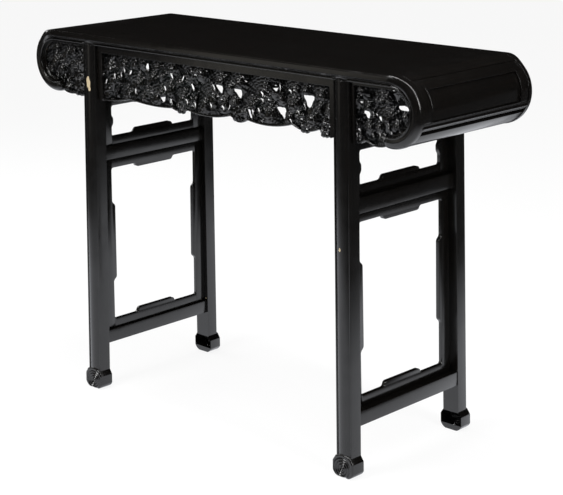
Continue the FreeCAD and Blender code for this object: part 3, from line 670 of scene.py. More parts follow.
def scroll_band_mesh():
    """Rear right band: the moulding's section turned about the scroll's axis, while it flattens into the
    band's plain face, with a rounded nose."""
    s = top_sizes()
    steps = 112
    nose_share = 0.55
    turn_slack = 0.01
    half = s.edge_height / 2
    inner_radius = s.scroll_radius - s.edge_height
    middle = inner_radius + half
    nose_turn = half / middle
    axis_x, axis_z = scroll_axis()
    inner_y = end_board_half()
    moulded = [(inner_y, 0), *moulding_section(), (inner_y, s.edge_height)]
    plain = [(inner_y, 0), *band_section(), (inner_y, s.edge_height)]
    mesh = bmesh.new()
    loop = loop_of(mesh, [(axis_x, y, axis_z + inner_radius + z) for y, z in moulded])
    bmesh.ops.contextual_create(mesh, geom=loop)
    sweep = math.pi / 2 - s.band_end + nose_turn
    bmesh.ops.spin(mesh, geom=loop, cent=(axis_x, 0, axis_z), axis=(0, 1, 0), angle=sweep, steps=steps,
                   use_duplicate=False)
    places = np.array(moulded)
    for vert in mesh.verts:
        across = vert.co.x - axis_x
        up = vert.co.z - axis_z
        turn = math.atan2(up, across)
        if turn > math.pi / 2 + turn_slack:
            turn -= FULL_TURN
        found = (vert.co.y, math.hypot(across, up) - inner_radius)
        index = int(np.hypot(places[:, 0] - found[0], places[:, 1] - found[1]).argmin())
        flattened = float(smooth_step((math.pi / 2 - turn) / s.band_turn))
        y = found[0] + (plain[index][0] - moulded[index][0]) * flattened
        radius = inner_radius + found[1] + (plain[index][1] - moulded[index][1]) * flattened
        beyond = (s.band_end - turn) * middle
        if beyond > 0:
            share = math.sqrt(max(0, 1 - min(1, beyond / half) ** 2))
            radius = middle + (radius - middle) * share
            y = inner_y + (y - inner_y) * (nose_share + (1 - nose_share) * share)
        vert.co.x, vert.co.z = polar_x(radius, turn)
        vert.co.y = y
    bmesh.ops.remove_doubles(mesh, verts=mesh.verts, dist=MERGE_DISTANCE)
    return close_up(mesh)


def board_arc(radius, start, end):
    """Points of an arc of the right end board."""
    step = math.radians(1.5)
    count = max(2, round(abs(end - start) / step))
    return [polar_x(radius, start + (end - start) * index / count) for index in range(count + 1)]


def end_board_mesh(outer, inner, half_width, start, end):
    """Piece of the right end board between two radii and two angles."""
    crease_limit = math.radians(50)
    arris = 0.6 * MM
    arris_steps = 2
    outline = board_arc(outer, start, end) + board_arc(inner, end, start)
    mesh = slab(outline, half_width)
    bevel_sharp(mesh, crease_limit, arris, arris_steps)
    return mesh


def end_rail_mesh():
    """Right cross rail, which carries the flat top over into the curve."""
    s = top_sizes()
    start_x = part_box("top_panel")[1].x - s.tongue_length
    top = table_height()
    inner = s.scroll_radius - s.board_thickness
    flat_half = half_depth() - s.edge_rail_width
    flat = [(start_x, top), (s.scroll_axis_x, top), (s.scroll_axis_x, top - s.board_thickness),
            (start_x, top - s.board_thickness)]
    bend = board_arc(s.scroll_radius, math.pi / 2, s.crease) + board_arc(inner, s.crease, math.pi / 2)
    return joined(slab(bend, end_board_half()), slab(flat, flat_half))


def lower_rail_mesh():
    """Rail under the right end panel, with its thick bead and the dark groove."""
    s = top_sizes()
    bead_steps = 10
    bead_room = 1.15
    outer = s.scroll_radius - s.board_inset
    inner = s.scroll_radius - s.board_thickness
    bead_half = s.end_bead_radius / outer * bead_room
    centre = polar_x(outer, s.bead_angle)
    start = s.bead_angle + math.pi / 2
    outline = board_arc(outer, s.panel_bottom, s.bead_angle + bead_half)
    outline += [polar(centre, s.end_bead_radius, start - math.pi * step / bead_steps)
                for step in range(bead_steps + 1)]
    outline += board_arc(outer, s.bead_angle - bead_half, s.groove_top)
    outline += board_arc(outer - s.groove_depth, s.groove_top, s.groove_bottom)
    outline += board_arc(inner, s.groove_bottom, s.panel_bottom)
    return slab(outline, end_board_half())


def panel_bead_mesh():
    """Thin bead round the right end panel: two bent sides and two straight ones."""
    s = top_sizes()
    steps = 36
    bent_sides = 8
    straight_sides = 10
    sunk_share = 0.4
    radius = s.panel_bead_radius
    centre_radius = s.scroll_radius - s.board_inset - radius * sunk_share
    sweep = s.panel_top - s.panel_bottom
    axis_x, axis_z = scroll_axis()
    start_x, start_z = polar_x(centre_radius, s.panel_top)
    mesh = bmesh.new()
    for y in (-s.panel_half_depth, s.panel_half_depth):
        made = bmesh.ops.create_circle(mesh, cap_ends=False, segments=bent_sides, radius=radius)
        bmesh.ops.rotate(mesh, cent=ORIGIN, matrix=Matrix.Rotation(-s.panel_top, 3, "Y"),
                         verts=made["verts"])
        bmesh.ops.translate(mesh, vec=(start_x, y, start_z), verts=made["verts"])
        ring = [e for e in mesh.edges if all(v in made["verts"] for v in e.verts)]
        bmesh.ops.spin(mesh, geom=ring, cent=(axis_x, 0, axis_z), axis=(0, 1, 0), angle=sweep, steps=steps)
    for turn in (s.panel_top, s.panel_bottom):
        x, z = polar_x(centre_radius, turn)
        spot = Matrix.Translation((x, 0, z)) @ Matrix.Rotation(math.pi / 2, 4, "X")
        bmesh.ops.create_cone(mesh, cap_ends=True, segments=straight_sides, radius1=radius, radius2=radius,
                              depth=2 * s.panel_half_depth, matrix=spot)
    return close_up(mesh)


# Legs

def leg_section():
    """Outline of a rear leg at the top: x from its middle, y from the table's centre line."""
    s = leg_sizes()
    bead_steps = 6
    swell_steps = 18
    half = s.width / 2
    face = s.corner_y
    back = face - s.depth
    inner = swell_half()
    bead_mid = half - s.bead_width / 2
    bead_front = face + s.bead_width / 2
    points = [(-half, back), (half, back), (half, face)]
    points += arc_points((half, face), (bead_mid, bead_front), (inner, face), bead_steps)
    points += arc_points((inner, face), (0, face + s.swell), (-inner, face), swell_steps)
    points += arc_points((-inner, face), (-bead_mid, bead_front), (-half, face), bead_steps)
    return points[:-1] + [(-half, face)]


def lean(mesh):
    """Leans a right rear leg outwards, as its solid does."""
    s = leg_sizes()
    top = table_height()
    bmesh.ops.rotate(mesh, cent=(0, s.corner_y, top), matrix=Matrix.Rotation(s.lean_across, 3, "X"),
                     verts=mesh.verts)
    bmesh.ops.rotate(mesh, cent=(s.leg_x, 0, top), matrix=Matrix.Rotation(-s.lean_along, 3, "Y"),
                     verts=mesh.verts)


def leg_mesh():
    """Rear right post, from inside its foot up to the moulded edge."""
    s = leg_sizes()
    foot_overlap = 2 * MM
    places = [(s.leg_x + x, y, s.foot_top - foot_overlap) for x, y in leg_section()]
    mesh = extruded_loop(places, (0, 0, table_height() - s.foot_top))
    for vert in mesh.verts:
        if vert.co.z < s.foot_top and vert.co.y > s.corner_y:
            vert.co.y -= s.foot_step * (vert.co.y - s.corner_y) / s.swell
    lean(mesh)
    bmesh.ops.bisect_plane(mesh, geom=list(mesh.verts) + list(mesh.edges) + list(mesh.faces),
                           plane_co=(0, 0, edge_bottom()), plane_no=(0, 0, 1), clear_outer=True)
    return close_up(mesh)


def foot_outline(x, z):
    """How far inside a foot's outline a place lies."""
    s = leg_sizes()
    across = np.abs(x)
    side = s.foot_width / 2 - across
    slope = math.atan2(s.foot_top - s.foot_side_top, (s.foot_width - s.width) / 2)
    corner = side * math.sin(slope) + (s.foot_side_top - z) * math.cos(slope)
    centre, radius = circle_through((s.sole_width / 2, 0), (s.foot_curve_x, s.foot_curve_z),
                                    (s.foot_width / 2, s.foot_side_bottom))
    under = np.where((across > s.sole_width / 2) & (z < s.foot_side_bottom),
                     radius - np.hypot(across - centre[0], z - centre[1]), FAR)
    arch = s.foot_arch * (1 - (2 * across / s.width) ** 2)
    return np.minimum.reduce([side, corner + np.maximum(arch, 0), under, z, s.foot_top + arch - z])


def foot_relief(x, z):
    """Height of the volute carved on a foot, below its front plane."""
    s = leg_sizes()
    volute_blend = 2 * MM
    groove_power = 0.6
    rim_depth = 2.5 * MM
    rim_width = 3 * MM
    across = x - s.volute_x
    up = z - s.volute_z
    distance = np.hypot(across, up)
    turn = np.arctan2(up, -across)
    phase = (s.volute_radius - distance) / s.volute_pitch + turn / FULL_TURN
    inside = smooth_step((s.volute_radius + s.volute_pitch / 2 - distance) / volute_blend)
    ridge = (0.5 - 0.5 * np.cos(FULL_TURN * phase)) ** groove_power
    return -s.volute_depth * (1 - ridge) * inside - rim_drop(foot_outline(x, z), rim_depth, rim_width)


def foot_mesh():
    """Rear right foot: a carved block under the post."""
    s = leg_sizes()
    cell = 0.7 * MM
    margin = 1 * MM
    half = s.foot_width / 2
    top = s.foot_top + s.foot_arch

    def carve(x, z):
        outline = foot_outline(x, z)
        return outline, foot_relief(x, z), outline

    mesh = relief_mesh(carve, (-half - margin, -margin), (half + margin, top + margin), cell,
                       s.corner_y + s.swell, s.corner_y - s.depth)
    bmesh.ops.translate(mesh, verts=mesh.verts, vec=(s.leg_x, 0, 0))
    lean(mesh)
    for vert in mesh.verts:
        vert.co.z = max(vert.co.z, 0)
    return mesh


# Carved boards

def reach_slopes(carve, places, step):
    """What a carving gives at some places, and how steeply its reach grows there along x and z."""
    here = carve(places[:, 0], places[:, 1])
    along = carve(places[:, 0] + step, places[:, 1])[0] - here[0]
    up = carve(places[:, 0], places[:, 1] + step)[0] - here[0]
    return here, np.stack([along / step, up / step], axis=1)


def snap(carve, places):
    """Moves places in x and z onto the zero line of a carving's reach."""
    rounds = 3
    step = 0.05 * MM
    least_slope = 0.5
    longest_move = 0.4 * MM
    for _ in range(rounds):
        (reach, _, _), slopes = reach_slopes(carve, places, step)
        steepness = np.maximum(slopes[:, 0] ** 2 + slopes[:, 1] ** 2, least_slope ** 2)
        move = np.clip(reach / steepness, -longest_move, longest_move)
        places = places - slopes * move[:, None]
    return places


def opening(outer):
    """How far the back of a gap is opened out, at places this far inside the board's outline."""
    plain_rim = 2 * MM
    rim_blend = 6 * MM
    return carving_sizes().undercut * smooth_step((outer - plain_rim) / rim_blend)


def undercut(carve, places):
    """Opens the back of the gaps out into the board."""
    step = 0.3 * MM
    least_slope = 0.5
    (_, _, outer), slopes = reach_slopes(carve, places, step)
    steepness = np.maximum(np.hypot(slopes[:, 0], slopes[:, 1]), least_slope)
    return places + slopes * (opening(outer) / steepness)[:, None]


def largest_patch(mesh):
    """Faces of the largest connected part of a mesh."""
    left = set(mesh.faces)
    best = set()
    while left:
        start = left.pop()
        patch = {start}
        edge_of_patch = [start]
        while edge_of_patch:
            face = edge_of_patch.pop()
            for edge in face.edges:
                for other in edge.link_faces:
                    if other in left:
                        left.discard(other)
                        patch.add(other)
                        edge_of_patch.append(other)
        if len(patch) > len(best):
            best = patch
    return best


def board_grid(carve, low, high, cell):
    """Flat grid over a carved board, without the cells outside its outline and without loose patches."""
    width = high[0] - low[0]
    tall = high[1] - low[1]
    mesh = bmesh.new()
    bmesh.ops.create_grid(mesh, x_segments=round(width / cell), y_segments=round(tall / cell), size=0.5)
    bmesh.ops.scale(mesh, vec=(width, tall, 1), verts=mesh.verts)
    bmesh.ops.translate(mesh, vec=((low[0] + high[0]) / 2, (low[1] + high[1]) / 2, 0), verts=mesh.verts)
    mesh.verts.ensure_lookup_table()
    places = np.array([(v.co.x, v.co.y) for v in mesh.verts])
    outline = carve(places[:, 0], places[:, 1])[0]
    outside = [f for f in mesh.faces if sum(outline[v.index] for v in f.verts) <= 0]
    bmesh.ops.delete(mesh, geom=outside, context="FACES")
    kept = largest_patch(mesh)
    bmesh.ops.delete(mesh, geom=[f for f in mesh.faces if f not in kept], context="FACES")
    return mesh


def add_back(mesh, carve, back_y):
    """Sides and back of a carved board. The back's faces over the gaps are taken out again."""
    covered = 0.7
    rim = [e for e in mesh.edges if e.is_boundary]
    result = bmesh.ops.extrude_edge_only(mesh, edges=rim)
    back_verts = verts_of(result)
    places = undercut(carve, np.array([(v.co.x, v.co.z) for v in back_verts]))
    for vert, place in zip(back_verts, places.tolist()):
        vert.co = (place[0], back_y, place[1])
    back_edges = [e for e in result["geom"] if isinstance(e, bmesh.types.BMEdge) and e.is_boundary]
    filled = bmesh.ops.triangle_fill(mesh, use_beauty=True, use_dissolve=False, edges=back_edges,
                                     normal=(0, -1, 0))["geom"]
    filled = [item for item in filled if isinstance(item, bmesh.types.BMFace)]
    middles = np.array([f.calc_center_median() for f in filled])
    here, _, outer = carve(middles[:, 0], middles[:, 2])
    in_gap = here < covered * opening(outer)
    bmesh.ops.delete(mesh, geom=[f for f, stray in zip(filled, in_gap) if stray], context="FACES")
    bmesh.ops.recalc_face_normals(mesh, faces=mesh.faces)


def relief_mesh(carve, low, high, cell, face_y, back_y):
    """Carved board that faces +Y. For places in x and z the carving gives how far inside the wood they
    lie, their height in front of the face, and how far inside the board's outline they lie."""
    mesh = board_grid(carve, low, high, cell)
    depth_layer = mesh.verts.layers.float.new("depth")
    verts = list(mesh.verts)
    places = np.array([(v.co.x, v.co.y) for v in verts])
    rim = np.array([v.is_boundary for v in verts])
    places[rim] = snap(carve, places[rim])
    heights = carve(places[:, 0], places[:, 1])[1]
    for vert, place, height in zip(verts, places.tolist(), heights.tolist()):
        vert.co = (place[0], face_y + height, place[1])
        vert[depth_layer] = -height / (face_y - back_y)
    add_back(mesh, carve, back_y)
    return mesh


def festoon(x, z, points):
    """How far above a scalloped edge a place lies. The edge is arcs from cusp to cusp, each through the
    point between them."""
    inside = z - points[0][1]
    for left, low, right in zip(points[::2], points[1::2], points[2::2]):
        centre, radius = circle_through(left, low, right)
        from_centre = np.hypot(x - centre[0], z - centre[1])
        if centre[1] > low[1]:
            reach = np.where(z < centre[1], radius - from_centre, z - low[1])
        else:
            reach = np.where(z > centre[1], from_centre - radius, z - low[1])
        span = (x >= left[0]) if left is not points[0] else np.full_like(x, True, dtype=bool)
        inside = np.where(span, reach, inside)
    return inside


def head_eye(turn, share, radius):
    """Height of a cloud head's eye and of the pearls round it."""
    s = carving_sizes()
    eye_share = 0.2
    ring_share = 0.32
    pearl_share = 0.09
    pearls = 6
    off_ring = np.abs(share - ring_share) * radius
    along = ((turn / FULL_TURN * pearls) % 1 - 0.5) * FULL_TURN / pearls * ring_share * radius
    pearl = s.pearl_height * half_round(np.hypot(off_ring, along) / (pearl_share * radius))
    return s.eye_height * half_round(share / eye_share) + pearl


def head_ribbons(turn, share, phase, spread):
    """Depth of the grooves between a cloud head's ribbons, and of the hollow behind them."""
    s = carving_sizes()
    ribbon_power = 2.5
    ribbon_end = 0.5
    ribbon_start, start_blend = 0.2, 0.08
    hollow_end = 0.4
    hollow_start, hollow_blend = 0.25, 0.2
    ribbon = half_round(2 * (phase % 1) - 1, ribbon_power)
    shown = smooth_step((spread + ribbon_end - np.abs(turn)) / ribbon_end)
    shown = shown * smooth_step((share - ribbon_start) / start_blend)
    behind = smooth_step((np.abs(turn) - spread) / hollow_end)
    hollow = s.hollow_depth * behind * smooth_step((share - hollow_start) / hollow_blend)
    return s.ridge_depth * (1 - ribbon) * shown + hollow


def cloud_head(x, z, head, order, count):
    """Reach inside a cloud head's wavy rim, and its height: nested half-round ribbons round an eye with
    pearls. Its order among the heads gives how far forward it lies, and varies its form."""
    s = carving_sizes()
    flattest = 0.14
    order_turn = 2.4
    fewest_lobes = 7
    ribbon_waves = 3
    ribbon_wave = 0.12
    centre_x, centre_z, radius, facing, spread = head
    across = (x - centre_x) * math.cos(facing) + (z - centre_z) * math.sin(facing)
    up = (z - centre_z) * math.cos(facing) - (x - centre_x) * math.sin(facing)
    up = up * (1 + flattest * math.sin(order_turn * order))
    distance = np.hypot(across, up)
    turn = np.arctan2(up, across)
    share = distance / radius
    lobes = max(fewest_lobes, round(FULL_TURN * radius / s.lobe_pitch))
    outline = radius + s.lobe_depth * np.cos(lobes * turn + order) * np.minimum(share, 1)
    reach = outline - distance
    phase = reach / s.ridge_pitch + ribbon_wave * np.sin(ribbon_waves * turn + order)
    dome = s.dome * (1 - (distance / outline) ** 2)
    height = dome - s.dome - s.layer * (1 - order / count) - rim_drop(reach, s.rim_fall, s.rim_width)
    return reach, height + head_eye(turn, share, radius) - head_ribbons(turn, share, phase, spread)


def stem(x, z, route, width, level):
    """Reach inside a bowed stem with round ends, and its height."""
    start, end, bow = route
    chord = math.dist(start, end)
    radius = (chord * chord / 4 + bow * bow) / (2 * abs(bow))
    across = ((start[1] - end[1]) / chord, (end[0] - start[0]) / chord)
    shift = math.copysign(radius - abs(bow), bow)
    centre = ((start[0] + end[0]) / 2 - across[0] * shift, (start[1] + end[1]) / 2 - across[1] * shift)
    facing = math.atan2(across[1] * bow, across[0] * bow)
    spread = math.asin(min(1, chord / 2 / radius))
    turn = (np.arctan2(z - centre[1], x - centre[0]) - facing + math.pi) % FULL_TURN - math.pi
    to_arc = np.abs(np.hypot(x - centre[0], z - centre[1]) - radius)
    to_ends = np.minimum(np.hypot(x - start[0], z - start[1]), np.hypot(x - end[0], z - end[1]))
    distance = np.where(np.abs(turn) <= spread, to_arc, to_ends)
    half = width / 2
    reach = half - distance
    return reach, level - half + np.sqrt(np.clip(half * half - distance * distance, 0, None))


def leaf_tip(x, z, route, width):
    """Reach inside a slim leaf tip, and its height: one cut face that leans up and to the right."""
    s = carving_sizes()
    form_reach = stem(x, z, route, width, 0)[0]
    across = x - (route[0][0] + route[1][0]) / 2
    up = z - (route[0][1] + route[1][1]) / 2
    fall = s.tip_slope_x * across + s.tip_slope_z * up
    crown = (across * across + up * up) / (2 * s.tip_radius)
    return form_reach, -s.tip_level - fall - crown - rim_drop(form_reach, s.tip_rim_fall, s.tip_rim_width)


def rosette(x, z, place):
    """Reach inside a rosette of five petals, and its height."""
    s = carving_sizes()
    petals = 5
    ripples = 15
    notch = 0.22
    heart_share = 0.3
    ripple_start, ripple_blend = 0.3, 0.5
    centre_x, centre_z, radius = place
    across = x - centre_x
    up = z - centre_z
    distance = np.hypot(across, up)
    turn = np.arctan2(across, up)
    outline = radius * (1 - notch + notch * np.abs(np.cos(petals * turn / 2)))
    reach = outline - distance
    share = distance / outline
    petal = 0.5 + 0.5 * np.cos(petals * turn)
    dish = s.petal_rise * np.sin(np.clip(share, 0, 1) * math.pi) * petal
    ripple = s.petal_ripple * np.cos(ripples * turn) * smooth_step((share - ripple_start) / ripple_blend)
    heart = s.heart_height * np.clip(1 - (distance / (heart_share * radius)) ** 2, 0, 1)
    fall = rim_drop(reach, s.rosette_rim_fall, s.rosette_rim_width)
    return reach, dish + heart + ripple - fall - s.rosette_level


def gap_reach(x, z, gap):
    """How far inside a leaning gap a place lies. A gap narrows to its foot, or to its head where its
    half height is negative."""
    taper = 0.42
    corner_blend = 5 * MM
    centre_x, centre_z, half_width, half_height, slant = gap
    up = z - centre_z
    across = (x - centre_x) + up * math.tan(slant)
    half = half_width * (1 - taper + taper * np.clip(up / half_height, -1, 1))
    sides = (half - np.abs(across)) * math.cos(slant)
    ends = abs(half_height) - np.abs(up)
    return -smooth_max(-sides, -ends, corner_blend)


def carved_field(x, z, motifs):
    """Reach of the ground, height of all the carved forms together, and reach of the rosettes. The
    later forms lie in front."""
    s = carving_sizes()
    upright_stretch = 3
    steps = FULL_TURN / s.ground_pitch
    height = s.ground_wave * np.sin(steps * x + np.sin(steps * z / upright_stretch)) - s.ground
    heads = motifs["heads"]
    rosettes = [rosette(x, z, place) for place in motifs["rosettes"]]
    forms = [stem(x, z, route, s.stem_width, -s.dome) for route in motifs["stems"]]
    forms += [cloud_head(x, z, head, order, len(heads)) for order, head in enumerate(heads)]
    forms += rosettes
    forms += [leaf_tip(x, z, route, width) for route, width in motifs["tips"]]
    for form_reach, form_height in forms:
        height = np.where(form_reach > 0, form_height, height)
    ground = np.minimum.reduce([-gap_reach(x, z, gap) for gap in motifs["gaps"]])
    hanging = np.maximum.reduce([reach for reach, _ in rosettes])
    return ground, height, hanging


def framed_carving(x, z, sides, edge, window, motifs):
    """How far inside the wood places of a carved board with its plain border lie, their height, and how
    far inside the board's outline they lie."""
    s = carving_sizes()
    arris_drop = 0.8 * MM
    arris_width = 1 * MM
    ground, height, hanging = carved_field(x, z, motifs)
    outline = np.minimum(sides, np.maximum(edge, hanging))
    solid = np.maximum.reduce([ground, -window, s.border - edge])
    brink = np.minimum(outline, solid)
    height = height - rim_drop(brink, s.brink_fall, s.brink_width)
    on_bead = (edge < s.border) & (window > 0) & (hanging < 0)
    bead = half_round((edge - s.border / 2) / (s.border / 2))
    height = np.where(on_bead, s.border_height * (bead - 1), height)
    height = np.clip(height, s.least_wood - s.carved_thickness, s.proud - s.sunk)
    plain = s.proud - arris_drop * (1 - np.clip(-window / arris_width, 0, 1)) ** 2
    return brink, np.where(window <= 0, plain, height), outline


def leg_side(z, outer):
    """Side face of a right leg at a height, measured from the middle of the table."""
    s = leg_sizes()
    half = s.width / 2 / math.cos(s.lean_along)
    return s.leg_x + (half if outer else -half) + math.tan(s.lean_along) * (table_height() - z)


# Lower edge of the long carving, cusps and low points by turns, as shares of half the bay and of the
# height of a scallop
LONG_EDGE_SHARES = (
    (-1.0, -0.2), (-0.85, -0.05), (-0.71, 0.64), (-0.5, 0.2), (-0.33, 0.4), (-0.26, 0.05), (-0.2, 0.5),
    (-0.05, 0.05), (0.17, 0.79), (0.237, 0.0), (0.3, 0.6), (0.48, 0.25), (0.66, 1.05), (0.76, 0.4),
    (0.86, 1.0), (0.92, 0.2), (1.0, 0.6))

# Forms of the long carving, back to front. Heads: place as shares of half the bay and of the carved
# field, radius as a share of the field, then the angle in degrees that each faces and how far its ridges
# run to each side. Stems: both ends in the same shares, then how far each bows. Tips: both ends, then
# the width. Rosettes: place and radius. Gaps: place, half width and half height, then the lean in degrees
LONG_SHARES = {
    "heads": (
        (-0.92, 0.65, 0.25, 100, 110), (-0.78, 0.78, 0.24, 105, 110), (-0.67, 0.82, 0.21, 90, 110),
        (-0.6, 0.89, 0.18, 90, 110), (-0.46, 0.85, 0.21, 70, 110), (-0.34, 0.85, 0.2, 110, 110),
        (-0.18, 0.83, 0.28, 125, 115), (-0.08, 0.86, 0.2, 60, 110), (0.08, 0.76, 0.27, 120, 115),
        (0.23, 0.78, 0.26, 115, 115), (0.16, 0.67, 0.17, 60, 110), (-0.42, 0.68, 0.18, 50, 110),
        (0.43, 0.62, 0.42, 118, 100), (0.67, 0.77, 0.29, 110, 110), (0.76, 0.82, 0.2, 80, 110),
        (0.87, 0.77, 0.22, 70, 120), (-0.52, 0.54, 0.29, 110, 110), (-0.66, 0.4, 0.34, 110, 105),
        (-0.87, 0.41, 0.22, 120, 110), (-0.82, 0.21, 0.19, 60, 110), (-0.74, 0.18, 0.24, 95, 110),
        (-0.36, 0.39, 0.28, 90, 110), (-0.27, 0.59, 0.18, 130, 110), (-0.47, 0.2, 0.34, 125, 110),
        (-0.24, 0.27, 0.28, 100, 105), (-0.11, 0.32, 0.2, 120, 110), (0.01, 0.35, 0.39, 115, 100),
        (0.11, 0.29, 0.24, 95, 110), (0.34, 0.38, 0.24, 110, 110), (0.29, 0.24, 0.17, 60, 110),
        (0.66, 0.51, 0.27, 108, 105), (0.57, 0.61, 0.16, 60, 110), (0.86, 0.52, 0.2, 20, 110),
        (0.47, 0.24, 0.33, 90, 135), (0.8, 0.3, 0.27, -50, 115), (0.63, 0.23, 0.18, 110, 110),
        (-0.06, 0.18, 0.2, 150, 110), (-0.58, 0.17, 0.18, 130, 110), (0.41, 0.29, 0.14, 180, 110),
        (0.2, 0.36, 0.17, 60, 110), (0.93, 0.51, 0.18, -20, 110), (0.52, 0.73, 0.18, 50, 110),
    ),
    "stems": (
        (-0.95, 0.25, -0.86, 0.96, 0.1), (-0.83, 0.06, -0.9, 0.72, 0.08),
        (-0.65, 0.06, -0.61, 0.72, -0.11), (-0.59, 0.49, -0.5, 0.98, -0.08),
        (-0.44, 0.1, -0.39, 0.46, 0.06), (-0.29, 0.1, -0.26, 0.82, -0.08),
        (-0.19, 0.1, -0.14, 0.7, 0.08), (-0.06, 0.06, -0.04, 0.42, 0.05), (0, 0.68, 0.08, 0.98, 0.06),
        (0.1, 0.1, 0.14, 0.82, -0.06), (0.2, 0.08, 0.29, 0.77, 0.08), (0.34, 0.06, 0.28, 0.51, -0.06),
        (0.4, 0.98, 0.49, 0.36, 0.08), (0.51, 0.51, 0.56, 0.98, -0.08), (0.71, 0.08, 0.65, 0.51, 0.08),
        (0.63, 0.49, 0.63, 0.91, 0.05), (0.73, 0.68, 0.89, 0.98, 0.11), (0.79, 0.1, 0.74, 0.63, -0.08),
        (0.92, 0.1, 0.97, 0.63, -0.06), (-0.95, 0.39, -0.84, 0.59, 0.06),
        (-0.5, 0.44, -0.46, 0.8, 0.04), (0.57, 0.17, 0.59, 0.51, 0.04), (0.23, 0.67, 0.18, 0.51, 0.04),
        (0.69, 0.72, 0.73, 0.93, 0.04), (-0.8, 0.63, -0.67, 0.87, 0.06),
    ),
    "rosettes": (
        (-0.95, 0.18, 0.19), (-0.17, 0.21, 0.15), (-0.14, 0.86, 0.15), (0.22, 0.17, 0.18),
        (0.71, 0.32, 0.15), (0.92, 0.26, 0.15), (0.9, 0.11, 0.13), (-0.26, 0.09, 0.14),
        (0.46, 0.59, 0.14), (0.08, 0.44, 0.12), (-0.53, 0.34, 0.13), (0.75, 0.14, 0.14),
    ),
    "tips": (
        (-0.87, 0.62, -0.84, 0.48, 0.045), (-0.8, 0.65, -0.78, 0.53, 0.04),
        (-0.77, 0.74, -0.75, 0.66, 0.045), (-0.7, 0.72, -0.7, 0.62, 0.05),
        (-0.67, 0.4, -0.65, 0.2, 0.045), (-0.56, 0.96, -0.53, 0.74, 0.08), (-0.4, 0.5, -0.38, 0.4, 0.045),
        (-0.35, 0.81, -0.31, 0.66, 0.05), (-0.16, 0.63, -0.13, 0.5, 0.06), (-0.01, 0.34, 0.02, 0.17, 0.05),
        (0.34, 0.32, 0.36, 0.19, 0.045), (-0.23, 0.77, -0.23, 0.65, 0.04),
        (-0.21, 0.3, -0.19, 0.19, 0.04), (-0.14, 0.27, -0.12, 0.14, 0.04),
        (-0.36, 0.28, -0.32, 0.11, 0.045), (0.1, 0.3, 0.12, 0.19, 0.045), (0.16, 0.33, 0.16, 0.23, 0.04),
        (0.27, 0.95, 0.29, 0.84, 0.04), (0.39, 0.36, 0.41, 0.27, 0.045), (0.75, 0.59, 0.77, 0.48, 0.045),
        (0.64, 0.25, 0.66, 0.16, 0.045), (-0.97, 0.65, -0.95, 0.53, 0.045), (0.02, 0.7, 0.05, 0.57, 0.05),
        (0.56, 0.9, 0.58, 0.75, 0.04), (-0.94, 0.45, -0.93, 0.34, 0.04), (0.64, 0.82, 0.66, 0.76, 0.05),
        (0.42, 0.7, 0.44, 0.6, 0.05), (0.42, 0.56, 0.44, 0.49, 0.045), (0.7, 0.44, 0.72, 0.36, 0.045),
    ),
    "gaps": (
        (-0.42, 0.22, 0.12, 0.075, 15), (0.078, 0.605, 0.11, 0.08, 25), (0.23, 0.57, 0.12, 0.09, 22),
        (0.29, 0.86, 0.1, 0.035, 0), (0.52, 0.825, 0.17, 0.09, 30), (0.78, 0.635, 0.15, 0.12, 0),
        (0.58, 0.33, 0.135, 0.11, 22), (-0.35, 0.13, 0.035, 0.08, 30), (0.32, 0.2, 0.045, 0.1, 15),
    )}

# Gaps of the rear board alone
REAR_GAP_SHARES = (
    (0.59, 0.135, 0.13, 0.085, 0), (0.34, 0.05, 0.12, 0.06, 0), (-0.63, 0.37, 0.12, 0.1, 0),
)

# The same for the end bays, measured from the leg outwards as shares of the bay's length
END_EDGE_SHARES = ((0.0, 0.3), (0.1, 0.1), (0.2, 0.6), (0.38, -0.05), (0.58, 0.4))
RIGHT_SHARES = {
    "heads": (
        (0.74, 1.08, 0.19, 60, 110), (0.36, 0.52, 0.15, 60, 120), (0.85, 0.62, 0.17, 20, 110),
        (0.24, 0.7, 0.15, 80, 110), (0.11, 0.98, 0.19, 120, 80), (0.06, 0.8, 0.15, 170, 90),
        (0.49, 0.85, 0.27, 100, 115), (0.58, 0.54, 0.31, 85, 110), (0.04, 0.33, 0.17, 110, 110),
        (0.43, 0.36, 0.15, 80, 110), (0.72, 0.42, 0.17, 80, 110), (0.26, 0.33, 0.17, 60, 110),
        (0.78, 0.17, 0.19, 60, 110), (0.51, 0.1, 0.19, 100, 110),
    ),
    "stems": (
        (0.29, 0.69, 0.16, 0.52, -0.05), (0.31, 0.71, 0.46, 0.42, 0.06), (0.67, 0.99, 0.82, 0.55, 0.06),
        (0.21, 0.51, 0.29, 0.12, 0.06), (0.53, 0.46, 0.66, 0.06, 0.05), (0.36, 0.33, 0.53, 0.36, 0.05),
        (0.66, 0.39, 0.82, 0.45, 0.05), (0.33, 0.18, 0.53, 0.21, 0.04), (0.64, 0.22, 0.84, 0.27, 0.04),
        (0.72, 1.11, 0.9, 0.81, 0.05),
    ),
    "rosettes": (
        (0.04, 0.25, 0.14), (0.06, 0.11, 0.13), (0.41, 0.84, 0.1), (0.59, 0.85, 0.09),
    ),
    "tips": (
        (0.33, 0.64, 0.36, 0.54, 0.045), (0.39, 0.62, 0.44, 0.52, 0.045), (0.33, 0.23, 0.36, 0.18, 0.05),
        (0.63, 0.33, 0.66, 0.22, 0.045), (0.58, 0.47, 0.61, 0.38, 0.045), (0.0, 0.56, 0.03, 0.47, 0.045),
        (0.1, 0.28, 0.14, 0.2, 0.05), (0.05, 0.2, 0.09, 0.12, 0.05), (0.44, 0.27, 0.47, 0.17, 0.05),
    ),
    "gaps": (
        (0.63, 1.09, 0.09, 0.03, 55), (0.79, 0.86, 0.13, -0.115, 25), (0.22, 0.56, 0.08, 0.07, 20),
        (0.45, 0.51, 0.05, 0.06, 15), (0.12, 0.79, 0.06, 0.03, 0),
    )}
